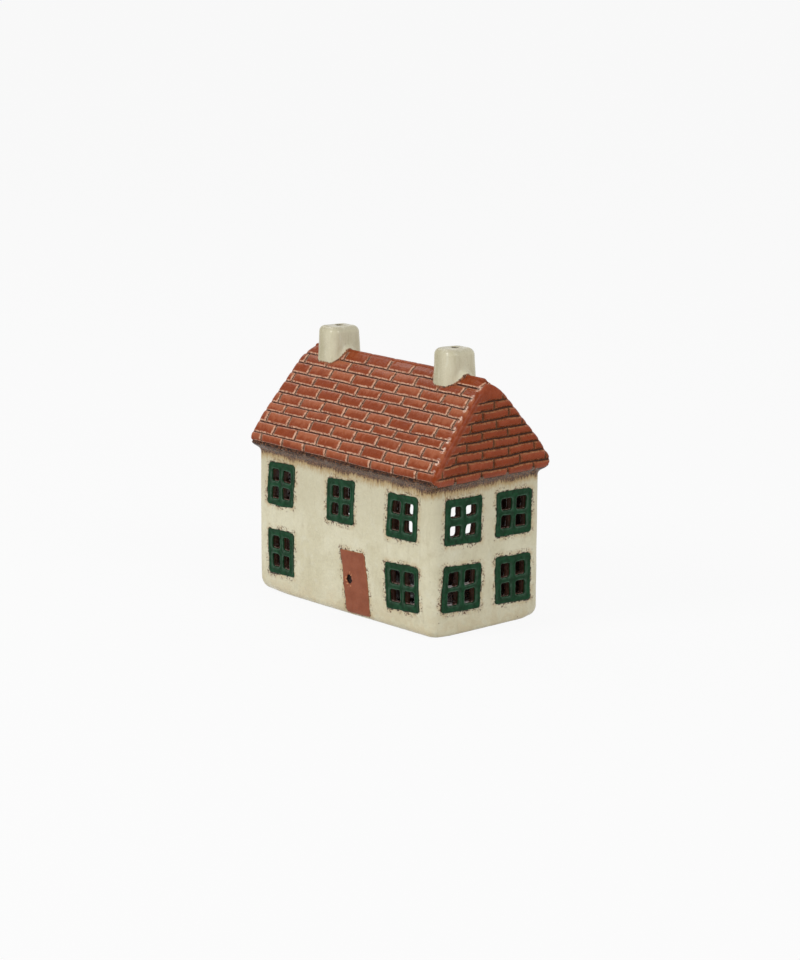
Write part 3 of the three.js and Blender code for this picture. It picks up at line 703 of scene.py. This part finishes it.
CLAY_DARK, CLAY, CLAY_GRAIN = (0.05, 0.021, 0.014), (0.12, 0.052, 0.034), (0.19, 0.1, 0.07)


def bare_clay(m):
    patch = m.band(m.noise(5.0, 3.0, 0.6), 0.35, 0.7)
    grain = m.noise(0.5)
    return m.mix(m.band(grain, 0.5, 0.75, 0.4), m.mix(patch, CLAY_DARK, CLAY), CLAY_GRAIN)


# Layers of a glaze: what they follow, where they begin, where they are full, their share and colour
CREAM_LAYERS = (
    ("cloud", 0.52, 0.74, 0.5, (0.71, 0.685, 0.54)),
    ("cloud", 0.46, 0.3, 0.35, (0.51, 0.45, 0.3)),
    ("fine", 0.45, 0.8, 0.16, (0.5, 0.46, 0.33)),
    # Darker towards the top of the walls: painted shade under the eaves
    ("height", 34.0, 66.0, 0.7, (0.55, 0.505, 0.35)),
    ("rain", 0.56, 0.74, 0.32, (0.47, 0.42, 0.28)),
)
CHIMNEY_LAYERS = (
    ("fine", 0.45, 0.8, 0.25, (0.58, 0.55, 0.4)),
    # Darker near the top: painted shade that tones down the chimney tops
    ("top_gap", 3.2, 0.4, 0.5, (0.36, 0.32, 0.22)),
    ("rain", 0.52, 0.74, 0.35, (0.46, 0.42, 0.26)),
    ("rain", 0.46, 0.3, 0.45, (0.68, 0.66, 0.52)),
)
CREAM, CREAM_DEEP, FOOT_TAN = (0.69, 0.65, 0.475), (0.62, 0.575, 0.4), (0.53, 0.4, 0.22)
HALO_TAN, CRUMB, FLAKE = (0.46, 0.31, 0.13), (0.11, 0.036, 0.013), (0.74, 0.52, 0.36)
EDGE_LINE, SPECK, EAVE_TAN = (0.04, 0.018, 0.008), (0.16, 0.08, 0.04), (0.38, 0.24, 0.085)
EAVE_BLACK_AND_SHADE, EAVE_RUST_AND_SHADE = (0.03, 0.01, 0.004), (0.23, 0.115, 0.052)
# Heights over which the tan fringe under the eaves comes in, and the dark band over it: rust-brown glaze with
# painted shade under the eave
FRINGE, RUST_AND_SHADE_BAND = (69.8, 74.6), (73.6, 75.4)


def cream_material():
    m = Glaze("cream_glaze_fired")
    z = m.node("SeparateXYZ", Vector=m.place).outputs["Z"]
    mottle = m.noise(17.0, 3.0, 0.55, shift=(3, 8, 1))
    cloud = m.noise(6.0, 3.0, 0.6, shift=(11, 2, 7))
    rain = m.noise(3.2, 3.0, 0.6, tall=6.0, shift=(1, 6, 3))
    m.colour = m.mix(m.band(mottle, 0.38, 0.66), CREAM, CREAM_DEEP)
    m.layers(dict(cloud=cloud, fine=m.noise(0.9, 2.0, 0.6), height=z, rain=rain), CREAM_LAYERS)
    m.paint(FOOT_TAN, m.band(z, 18.0, 1.0), m.band(cloud, 0.36, 0.6), 0.4)

    frame_gap = m.attribute("frame_gap")
    patchy = m.band(m.noise(4.2, 3.0, 0.65, shift=(5, 5, 5)), 0.42, 0.62)
    m.paint(HALO_TAN, m.band(frame_gap, 3.2, 0.2), patchy, 0.45)
    crust = m.noise(0.62, 3.0, 0.75, shift=(2, 9, 4))
    lumps = m.noise(1.05, 3.0, 0.7, shift=(6, 3, 8))
    near = m.band(frame_gap, 2.8, 0.9)
    where = m.band(m.noise(5.0, shift=(9, 1, 1)), 0.47, 0.53)
    crumbly = m.times(m.band(lumps, 0.54, 0.585), near, where)
    m.paint(CRUMB, crumbly)
    m.paint(FLAKE, m.band(crust, 0.44, 0.38), near, where, 0.75)
    broken = m.band(m.noise(3.0, 3.0, 0.7, shift=(4, 4, 9)), 0.48, 0.58, to_low=0.1)
    m.paint(EDGE_LINE, m.band(frame_gap, 0.42, 0.22), broken)
    sparse = m.band(m.cells(5.5, "Color"), 0.4, 0.75)
    specks = m.times(m.band(m.cells(5.5), 0.075, 0.04), sparse)
    m.paint(SPECK, specks, 0.85)

    streak = m.noise(0.75, 3.0, 0.75, tall=5.0)
    wave = m.noise(9.0, tall=3.0, shift=(7, 7, 7))
    level = m.shaken(m.shaken(z, streak, 8.5), wave, 3.6)
    m.paint(EAVE_TAN, m.band(level, *FRINGE, 0.88))
    # The dark band under the eave: rust-brown glaze darkened with painted shade
    rust_and_shade = m.mix(m.band(crust, 0.46, 0.58), EAVE_BLACK_AND_SHADE, EAVE_RUST_AND_SHADE)
    m.paint(rust_and_shade, m.band(level, *RUST_AND_SHADE_BAND))
    m.paint(bare_clay(m), m.attribute("bare"))
    pits = m.band(m.noise(1.1, shift=(1, 3, 2)), 0.66, 0.74)
    height = m.minus(m.times(cloud, 1.3), m.times(pits, 0.25))
    height = m.plus(m.minus(height, m.times(specks, 0.4)), m.times(crumbly, 0.5))
    rough = m.band(m.noise(4.0), 0.35, 0.65, 0.34, 0.2)
    return m.finish(rough, m.bump(height, 0.35), 0.32)


GLINT, UNDERSIDE_DARK_AND_SHADE, UNDERSIDE_RUST_AND_SHADE = (0.95, 0.72, 0.58), (0.016, 0.005, 0.002), (0.15, 0.058, 0.024)
BRICK_TONES = Kit(warm=(0.22, 0.037, 0.006), pink=(0.34, 0.1, 0.042), deep=(0.18, 0.03, 0.007),
                  peach=(0.7, 0.42, 0.28), joint_low=(0.06, 0.022, 0.014), joint_high=(0.36, 0.22, 0.14),
                  bed=(0.045, 0.012, 0.006))
GABLE_TONES = Kit(warm=(0.24, 0.04, 0.008), pink=(0.3, 0.065, 0.025), deep=(0.18, 0.03, 0.008),
                  peach=(0.52, 0.23, 0.11), joint_low=(0.07, 0.028, 0.012), joint_high=(0.19, 0.095, 0.04),
                  bed=(0.045, 0.015, 0.007))
# How pale the glaze breaks on a brick's right, lower, left and upper edge, with painted highlight making some
# sides brighter than others
BRICK_PALE_AND_HIGHLIGHT, GABLE_PALE_AND_HIGHLIGHT = (0.85, 0.85, 0.7, 0.4), (0.5, 0.4, 0.4, 0.8)
# The joints' places are kept as shares of this range
JOINT_RANGE = (-20.0, 20.0)


def brick_material(name, prefix, bricks, pale, soft, tones):
    m = Glaze(name)
    course, along, fade = (m.attribute(prefix + key) for key in ("course", "along", "fade"))
    row = m.math("FLOOR", course)
    gone = m.minus(course, row)
    across = m.minus(along, m.steps(row, bricks.joints, *JOINT_RANGE))
    across = m.math("DIVIDE", across, bricks.length)
    brick = m.math("FLOOR", across)
    across = m.minus(across, brick)
    wobble = m.times(m.minus(m.noise(1.3, 3.0, 0.7), 0.5), 0.62)

    def gaps(share, size, half):
        """Distances in from both edges of a brick, the far one first"""
        return [m.plus(m.math("MULTIPLY_ADD", way, size, -half), wobble)
                for way in (m.minus(1.0, share), share)]

    right, left = gaps(across, bricks.length, bricks.joint_half)
    lower, upper = gaps(gone, bricks.height, bricks.bed_half)
    joint, bed = m.math("MINIMUM", right, left), m.math("MINIMUM", lower, upper)
    edge = m.math("MINIMUM", joint, bed)

    mottle = m.noise(3.4, 3.0, 0.6)
    broad = m.noise(14.0, shift=(6, 1, 3))
    fine = m.noise(0.7, 3.0, 0.7)
    # Pinker towards each brick's top: a painted sheen, mixed with each brick's random tone and the mottle
    blend = m.math("MULTIPLY_ADD", m.patchwork(row, brick), 0.45, m.times(gone, -1.0))
    blend = m.math("MULTIPLY_ADD", mottle, 1.0, blend)
    m.colour = m.mix(m.band(blend, 0.0, 0.62), tones.warm, tones.pink)
    m.paint(tones.deep, m.band(broad, 0.45, 0.72, 0.4))
    m.paint(tones.pink, m.band(fine, 0.58, 0.8, 0.25))
    # Pale lines at the brick edges: glaze breaking thin, with painted highlight weighted by side
    lines = [m.times(m.band(side, 0.85, 0.35), share)
             for side, share in zip((right, lower, left, upper), pale)]
    broken = m.band(m.noise(1.6, 3.0, 0.7, shift=(2, 2, 8)), 0.38, 0.56, 1.08, 0.16)
    m.paint(tones.peach, m.chain("MAXIMUM", *lines), broken, fade)
    groove = m.times(m.band(edge, 0.12 + soft, -0.08 - soft), fade)
    is_bed = m.band(m.minus(joint, bed), -0.25, 0.25)
    middle = m.times(m.band(edge, -0.2, -0.42), m.band(fine, 0.38, 0.62))
    joint_tint = m.mix(middle, tones.joint_low, tones.joint_high)
    m.paint(m.mix(is_bed, joint_tint, tones.bed), groove)
    ends = m.band(m.noise(0.8, 2.0, 0.6, shift=(4, 7, 1)), 0.42, 0.56)
    m.paint(GLINT, m.attribute("tick"), m.times(m.band(bed, 1.9, 0.9), ends), 0.95)
    # Dark under the eave's nose and at the wall top: bare slip with painted shade
    streak = m.noise(1.2, 3.0, 0.7, shift=(3, 1, 2))
    fuzzy = m.shaken(m.attribute("under"), streak, 0.9)
    m.paint(m.mix(m.band(streak, 0.44, 0.62), UNDERSIDE_DARK_AND_SHADE, UNDERSIDE_RUST_AND_SHADE), m.band(fuzzy, 0.35, 0.65))
    m.paint(bare_clay(m), m.attribute("bare"))
    raised = m.times(m.band(edge, -0.15 - soft, 0.5 + 5.0 * soft), fade)
    grain = m.math("MULTIPLY_ADD", fine, 0.22, m.times(mottle, 0.8))
    normal = m.bump(grain, 0.28, Normal=m.bump(raised, 0.4 + 2.0 * soft, 0.8))
    rough = m.math("MULTIPLY_ADD", groove, 0.3, m.band(mottle, 0.3, 0.7, 0.34, 0.2))
    return m.finish(rough, normal, 0.14)


GREEN, GREEN_LIGHT, RIM_GREY = (0.003, 0.03, 0.009), (0.007, 0.055, 0.02), (0.075, 0.12, 0.088)
SIDE_DARK, SIDE_RUST, SILL_HIGHLIGHT = (0.028, 0.014, 0.008), (0.12, 0.045, 0.018), (0.5, 0.34, 0.3)


def green_material():
    m = Glaze("green_glaze_fired")
    rim = m.attribute("pane_gap")
    mottle = m.noise(3.0, 3.0, 0.6)
    fine = m.noise(0.8, 2.0, 0.6)
    m.colour = m.mix(m.band(mottle, 0.35, 0.68), GREEN, GREEN_LIGHT)
    ring = m.times(m.band(rim, 0.0, 0.4), m.band(rim, 1.0, 0.45))
    m.paint(RIM_GREY, ring, m.band(mottle, 0.35, 0.6, to_low=0.3), 0.55)
    wander = m.shaken(m.attribute("outline_gap"), fine, 0.9)
    side = m.times(m.band(wander, 0.62, 0.15), m.band(mottle, 0.36, 0.6, to_low=0.35))
    m.paint(m.mix(m.band(fine, 0.5, 0.7), SIDE_DARK, SIDE_RUST), side)
    gone = m.band(m.plus(m.attribute("deep"), m.times(fine, 1.0)), 0.8, 1.7)
    # Upward faces inside the panes: a painted highlight where top light falls on the sills
    sill = m.times(m.attribute("sill"), m.band(fine, 0.42, 0.55), 0.85)
    m.paint(m.mix(sill, bare_clay(m), SILL_HIGHLIGHT), gone)
    height = m.plus(mottle, m.times(fine, 0.3))
    return m.finish(m.band(mottle, 0.3, 0.7, 0.26, 0.14), m.bump(height, 0.35), 0.1)


DOOR_RED, DOOR_DEEP, DOOR_GRAIN = (0.285, 0.086, 0.042), (0.24, 0.068, 0.032), (0.38, 0.15, 0.08)
DOOR_EDGE, KNOB_GLINT, KNOB_HOLE_SHADE = (0.3, 0.12, 0.045), (0.8, 0.38, 0.17), (0.03, 0.018, 0.015)


def door_material():
    m = Glaze("terracotta_glaze_fired")
    mottle = m.noise(5.0, 3.0, 0.55)
    fine = m.noise(0.8, 3.0, 0.7)
    m.colour = m.mix(m.band(mottle, 0.35, 0.7), DOOR_RED, DOOR_DEEP)
    m.paint(DOOR_GRAIN, m.band(fine, 0.52, 0.8, 0.3))
    m.paint(DOOR_EDGE, m.band(m.shaken(m.attribute("outline_gap"), fine, 0.8), 0.9, 0.2, 0.85))
    # Painted glints round the knob hole
    knob_glints = m.band(m.noise(0.9, 2.0, 0.7, shift=(8, 3, 5)), 0.58, 0.66)
    m.paint(KNOB_GLINT, knob_glints, m.attribute("near_knob"))
    # Inside the knob hole: painted shade
    m.paint(KNOB_HOLE_SHADE, m.attribute("knob"))
    height = m.plus(mottle, m.times(fine, 0.3))
    return m.finish(m.band(mottle, 0.3, 0.7, 0.45, 0.28), m.bump(height, 0.25), 0.15)


DARK_GLAZE_AND_SHADE, PALE_GLAZE_AND_LIGHT, PINHOLE = (0.43, 0.395, 0.26), (0.61, 0.57, 0.41), (0.25, 0.17, 0.09)
FOOT_RUST, FOOT_DARK, VENT_SHADE = (0.28, 0.1, 0.035), (0.06, 0.022, 0.012), (0.03, 0.014, 0.008)


def chimney_material():
    m = Glaze("chimney_glaze_fired")
    mottle = m.noise(7.0, 3.0, 0.55)
    fine = m.noise(0.9, 2.0, 0.6)
    rain = m.noise(2.4, 2.0, 0.6, tall=6.0, shift=(5, 2, 3))
    # Lighter towards +X, the side the fill lamp faces: painted light, mixed with the glaze's mottle
    mottle_and_side_light = m.band(m.math("MULTIPLY_ADD", mottle, 0.5, m.attribute("thick")), 0.3, 1.1)
    m.colour = m.mix(mottle_and_side_light, DARK_GLAZE_AND_SHADE, PALE_GLAZE_AND_LIGHT)
    m.layers(dict(fine=fine, top_gap=m.attribute("top_gap"), rain=rain), CHIMNEY_LAYERS)
    dots = m.band(m.cells(3.4), 0.08, 0.03)
    m.paint(PINHOLE, dots, 0.7)
    crumbs = m.noise(1.3, 3.0, 0.7)
    ragged = m.plus(m.attribute("foot_gap"), m.times(crumbs, -1.15))
    m.paint(m.mix(m.band(crumbs, 0.5, 0.62), FOOT_RUST, FOOT_DARK), m.band(ragged, 0.05, -0.35))
    # Inside the vent: painted shade
    m.paint(VENT_SHADE, m.attribute("bare"))
    height = m.minus(mottle, m.times(dots, 0.6))
    return m.finish(m.band(fine, 0.3, 0.7, 0.32, 0.2), m.bump(height, 0.35), 0.34)


def plain_material(name, colour, other, roughness, metallic, size, bump, **more):
    m = Glaze(name)
    grain = m.noise(size, 3.0, 0.6)
    m.fill(m.shader, Metallic=metallic, **more)
    m.colour = m.mix(grain, colour, other)
    return m.finish(m.band(grain, 0.3, 0.7, roughness + 0.12, roughness), m.bump(grain, bump))


cream = cream_material()
brick = brick_material("brick_glaze_roof", "slope_", SLOPE_BRICKS, BRICK_PALE_AND_HIGHLIGHT, 0.0, BRICK_TONES)
gable_brick = brick_material("brick_glaze_gable", "gable_", GABLE_BRICKS, GABLE_PALE_AND_HIGHLIGHT, 0.14, GABLE_TONES)
green = green_material()
door_red = door_material()
chimney_cream = chimney_material()
foil = plain_material("cup_foil_pressed", (0.72, 0.73, 0.75), (0.6, 0.61, 0.63), 0.26, 1.0, 2.0, 0.08)
wax = plain_material("candle_wax_poured", (0.84, 0.82, 0.75), (0.78, 0.75, 0.67), 0.42, 0.0, 3.0, 0.1,
                     Subsurface_Weight=0.25, Subsurface_Radius=(0.004, 0.003, 0.002))
tin = plain_material("sustainer_tin_pressed", (0.55, 0.55, 0.56), (0.4, 0.4, 0.41), 0.35, 1.0, 1.0, 0.05)
cotton = plain_material("wick_cotton_braided", (0.74, 0.7, 0.6), (0.5, 0.45, 0.36), 0.8, 0.0, 0.25, 0.1)

# Base and walls
FAR = 20.0


def frame_distance(u, v, tiles):
    return np.minimum.reduce([np.full_like(u, FAR)] + [np.abs(tile_outline(u, v, tile)) for tile in tiles])


points, faces = surface_net(base_field, (-70, -38.5, -1.2), (70, 38.5, 8), BASE_PITCH)
x, y, z = points
footprint = smooth(0.5, 0.0, z) * smooth(0.2, 1.2, SPAN - 3.6 - np.abs(y))
piece_of("base_slab", points, faces, cream,
         frame_gap=np.where(y < -SPAN + 3, frame_distance(x, z, (DOOR,)), FAR),
         bare=np.maximum(smooth(1.2, 2.2, -shell(x, y, z)), footprint))

for name, (turn, width, distance, windows) in WALLS.items():
    def field(u, v, w):
        return wall_field(u, v, w, name)

    low = (-width / 2 - 5.2, BASE_TOP - 2.2, -WALL_THICK - 1)
    high = (width / 2 + 5.2, WALL_TOP + 2.6, 5.2)
    points, faces = surface_net(field, low, high, WALL_PITCH)
    world = np.stack(from_wall(*points, turn, distance))
    tiles = windows + ((DOOR,) if name == "front_wall" else ())
    piece_of(name, world, faces, cream, frame_gap=frame_distance(*points[:2], tiles),
             bare=smooth(1.1, 2.4, -shell(*world)))
    for tile in windows:
        def pane_field(u, v, w):
            return tile_field(u, v, w, tile, turn, distance)

        half_w, half_h = tile[3] / 2 + 2.4, tile[4] / 2 + 2.4
        low = (tile[1] - half_w, tile[2] - half_h, -TILE_BACK - 1.2)
        high = (tile[1] + half_w, tile[2] + half_h, 1.4)
        points, faces = surface_net(pane_field, low, high, TILE_PITCH)
        u, v, w = points
        world = np.stack(from_wall(u, v, w, turn, distance))
        upward = (pane_distance(u, v + 0.1, tile) - pane_distance(u, v - 0.1, tile)) / 0.2
        piece_of(tile[0], world, faces, green, pane_gap=pane_distance(u, v, tile),
                 outline_gap=-tile_outline(u, v, tile), deep=-shell(*world), sill=smooth(-0.5, -0.9, upward))

points, faces = surface_net(door_field, (DOOR[1] - 14, -0.6, -TILE_BACK - 1.2),
                            (DOOR[1] + 15, DOOR[2] + 19, 1.4), DOOR_PITCH)
u, v, w = points
world = np.stack(from_wall(u, v, w, 0, SPAN))
hole = smooth(0.15, 0.5, -shell(*world)) * smooth(3.4, 2.4, np.hypot(u - KNOB_X, v - KNOB_Z))
piece_of("front_door", world, faces, door_red, outline_gap=-tile_outline(u, v, DOOR), knob=hole,
         near_knob=smooth(5.5, 3.0, np.hypot((u - KNOB_X) * 1.6, v - KNOB_Z)))


# Roof
def roof_object(node, points, faces, side, seed):
    """Faces nearer to the gable's plane than to the slope's take the gable's bricks"""
    x, y, z = points
    room = END - upright(x, z)
    t, n = slope_frame(y * side, z)
    outer = roof_outer(t, n)
    along, course, across = slope_pattern(x, t, n, seed)
    gable_along, gable_course = gable_pattern(y, z)
    gable_fade = smooth(1.4, 3.6, RIDGE_R - slope_frame(-y, z)[1]) * smooth(0.4, 1.6, -outer)
    under_nose = smooth(LAST_BED - 0.8, LAST_BED + 1.0, across) * smooth(0.4, 2.4, room)
    mesh = piece_of(
        node, points, faces, brick, slope_course=course, slope_along=along, slope_fade=pattern_room(x, z, across),
        gable_course=gable_course, gable_along=gable_along,
        gable_fade=gable_fade * smooth(GABLE_BRICKS_TOP, GABLE_BRICKS_TOP - 4, z),
        tick=bell(room, 1.0, 2.8, 0.85) * (x > 0) * (y < 0) * smooth(EAVE_Z + 2, EAVE_Z + 7, z),
        under=under_nose + smooth(1.8, 0.2, z - WALL_TOP + 2.5 * smooth(2.0, 0.8, room)),
        bare=smooth(1.6, 2.6, -np.maximum(outer, roof_ends(x, z))) * smooth(1.6, 2.6, room))
    on_gable = (room < -outer)[faces].mean(axis=1) > 0.5
    mesh.materials.append(gable_brick)
    mesh.polygons.foreach_set("material_index", on_gable.astype(np.int32))


for node, side, seed, half in (("front_roof_slope", -1, FRONT_SEED, END + 1),
                               ("rear_roof_slope", 1, REAR_SEED, INNER_END + SEAM + 1)):
    # Meshed in a frame that lies on the slope: x, down the slope, and out of it
    def to_world(px, pt, pn):
        return px, (pt * COS + pn * SIN) * side, RIDGE_Z + pn * COS - pt * SIN

    def field(px, pt, pn, detail=True):
        return slope_field(*to_world(px, pt, pn), side, seed, detail)

    high = (half, NOSE_T + NOSE_R + 1.2, RIDGE_R + 2.4)
    points, faces = surface_net(field, (-half, -3.6, -6.8), high, SLOPE_PITCH, detail=False)
    roof_object(node, np.stack(to_world(*points)), faces[:, ::-side], side, seed)

for node, hand in (("right_gable", 1), ("left_gable", -1)):
    sag = SAG * (hand > 0)

    def leant(out, y, z):
        return out - LEAN_RATE * (z - WALL_TOP), y, z

    def field(out, y, z, detail=True):
        return gable_field(*leant(out, y, z), sag, detail)

    low = (INNER_END - 2.2, -SPAN - 5, WALL_TOP - DROP - 1.2)
    high = (END + 1, SPAN + 5, RIDGE_TOP + 1)
    points, faces = surface_net(field, low, high, GABLE_PITCH, detail=False)
    x, y, z = leant(*points)
    roof_object(node, np.stack((x * hand, y, z)), faces[:, ::hand], 1, REAR_SEED)

for node, cx, *shape in CHIMNEYS:
    def stack(x, y, z):
        return chimney_field(x, y, z, cx, *shape)

    low = (cx - 10.5, CHIMNEY.y - 12, RIDGE_TOP - 18)
    high = (cx + 13, CHIMNEY.y + 12, CHIMNEY.top + 1)
    points, faces = surface_net(stack, low, high, CHIMNEY_PITCH)
    x, y, z = points
    vent, top_gap = from_vent(x, y, cx) - CHIMNEY.mouth, CHIMNEY.top - z
    piece_of(node, points, faces, chimney_cream, top_gap=top_gap,
             thick=smooth(-7, 7, x - cx), foot_gap=roof_outer(*slope_frame(np.abs(y), unsagged(x, z))),
             bare=smooth(0.7, -0.1, vent) * smooth(0.2, 0.8, top_gap))

# Tea light
CANDLE = np.array(((-1.6,), (1.8,), (BASE_TOP + 0.3,)))
# Rings stay this far off the axis, so that no face has two corners in one place
TINY = 0.02


def turned(rings, sides, flute=0.0, flutes=48):
    """Solid of revolution about the candle's axis, from radii and heights and a mark on the fluted ones"""
    angle = np.linspace(0, 2 * math.pi, sides, endpoint=False)
    points = []
    for radius, height, *marked in rings:
        depth = flute if marked else 0.0
        r = radius + depth * (0.5 + 0.5 * np.cos(flutes * angle)) - depth
        points.append(np.stack((r * np.cos(angle), r * np.sin(angle), np.full(sides, height)), axis=1))
    i = np.arange(sides)
    beside = (i + 1) % sides
    faces = [np.stack((r * sides + i, r * sides + beside, (r + 1) * sides + beside, (r + 1) * sides + i), axis=1)
             for r in range(len(rings) - 1)]
    return np.concatenate(points).T + CANDLE, np.concatenate(faces)


def curve_rings(*corners, steps=4):
    """Rings along straight runs, with small arcs where three corners turn"""
    rings = [corners[0]]
    for before, corner, after in zip(corners, corners[1:], corners[2:]):
        before, corner, after = map(np.array, (before, corner, after))
        runs = before - corner, after - corner
        sizes = [np.linalg.norm(run) for run in runs]
        a, b = (corner + run / size * (0.35 * min(sizes)) for run, size in zip(runs, sizes))
        for k in range(steps + 1):
            s = k / steps
            rings.append((1 - s) ** 2 * a + 2 * s * (1 - s) * corner + s * s * b)
    return rings + [corners[-1]]


CUP_FOOT = curve_rings((TINY, 0.1), (16.6, 0.1), (17.0, 0), (18.35, 0.1), (18.4, 1.2))
CUP_SIDE = [(18.42 + 0.1 * k / 8, 1.3 + 12.4 * k / 8, True) for k in range(9)]
CUP_RIM_AND_INSIDE = curve_rings((18.55, 14.0), (18.6, 15.0), (19.0, 15.3), (19.0, 15.7), (18.75, 16.0),
                                 (18.3, 15.9), (18.05, 15.2), (18.05, 1.2), (17.6, 0.45), (TINY, 0.45))
WAX_UNDER = [(TINY, 0.55), (6.2, 0.55), (6.4, 1.0), (16.8, 0.6), (17.55, 1.3), (17.75, 12.5)]
WAX_POOL = [(17.7 - 15.6 * k / 12, 12.35 - 0.35 * math.sin(math.pi * k / 12) ** 0.5) for k in range(13)]
WAX_AT_WICK = [(1.5, 12.3), (1.15, 12.5), (0.8, 12.3), (TINY, 12.2)]
SUSTAINER = curve_rings((TINY, 0.42), (5.95, 0.42), (6.0, 0.85), (1.6, 0.9), (1.5, 3.8), (1.1, 3.85),
                        (1.05, 1.0), (TINY, 1.0))
STRANDS = [(0.66 + 0.04 * math.cos(k * 1.9) - (0.15 if k == 48 else 0), 0.6 + 18.4 * k / 48, True)
           for k in range(49)]
WICK = [(TINY, 0.5)] + STRANDS + [(TINY, 19.2)]
CUP, WAX = CUP_FOOT + CUP_SIDE + CUP_RIM_AND_INSIDE, WAX_UNDER + WAX_POOL + WAX_AT_WICK
for node, material, made, rings, *facets in (
        ("tealight_cup", foil, "pressed", CUP, 288, 0.22),
        ("tealight_wax", wax, "poured", WAX, 96),
        ("wick_sustainer", tin, "pressed", SUSTAINER, 64),
        ("tealight_wick", cotton, "braided", WICK, 24, 0.12, 6)):
    piece_of(node, *turned(rings, *facets), material, made, "tea_light")

# Floor, light and camera
PAPER, PAPER_LIT, PAPER_GAIN, PAPER_SHARE = 0.947, 0.75, 1.035, 0.93
ROOM_LIGHT, FLOOR_REACH = 0.55, 6.0
floor_mesh = bpy.data.meshes.new("floor")
floor_corners = [(sx * FLOOR_REACH, sy * FLOOR_REACH, 0) for sx, sy in ((-1, -1), (1, -1), (1, 1), (-1, 1))]
floor_mesh.from_pydata(floor_corners, [], [(0, 1, 2, 3)])
floor = placed("floor", floor_mesh)
paper = bpy.data.materials.new("paper_floor")
tree = Tree(paper, "OutputMaterial")
lit = tree.node("BsdfDiffuse", Color=(PAPER_LIT,) * 3)
even = tree.node("Emission", Color=(PAPER_GAIN * PAPER,) * 3)
tree.split(tree.times(tree.seen_rays(), PAPER_SHARE), lit, even)
floor.data.materials.append(paper)

world = bpy.data.worlds.new("studio")
scene.world = world
tree = Tree(world, "OutputWorld")
room = tree.node("Background", Color=(1, 1, 1), Strength=ROOM_LIGHT)
seen = tree.node("Background", Color=(PAPER,) * 3)
tree.split(tree.seen_rays(), room, seen)

# Area lamps as name, place, side and power, all aimed at the house
CENTRE = Vector((0, 0, 0.06))
LAMPS = (
    ("key", (-0.35, -1.2, 0.9), 0.5, 9.8),
    ("fill", (1.15, 0.1, 0.8), 0.6, 4.2),
    ("top", (0.1, 0.1, 1.5), 0.8, 1.0),
    ("sheen", (-1.15, 0.05, 1.15), 0.4, 1.8),
)
for name, spot, side, power in LAMPS:
    light = bpy.data.lights.new(name, "AREA")
    light.shape = "RECTANGLE"
    light.size = light.size_y = side
    light.energy = power
    lamp = placed(name, light)
    lamp.location = spot
    lamp.rotation_euler = (CENTRE - Vector(spot)).to_track_quat("-Z", "Y").to_euler()

# The camera as solved from the photograph
FOCAL_PIXELS, PHOTO_HEIGHT, SENSOR, ROLL_DEGREES = 3019, 960, 36.0, 0.3
camera_data = bpy.data.cameras.new("camera")
camera = placed("camera", camera_data)
scene.camera = camera
camera_data.sensor_fit = "VERTICAL"
camera_data.sensor_height = SENSOR
camera_data.lens = FOCAL_PIXELS * SENSOR / PHOTO_HEIGHT
camera_data.clip_start, camera_data.clip_end = 0.05, 60
camera.location = (1.1343, -1.02215, 0.4064)
view = Vector((-0.7245, 0.6539, -0.2181))
camera.rotation_mode = "QUATERNION"
camera.rotation_quaternion = view.to_track_quat("-Z", "Y") @ Quaternion((0, 0, 1), math.radians(ROLL_DEGREES))
scene.view_settings.view_transform = "Standard"
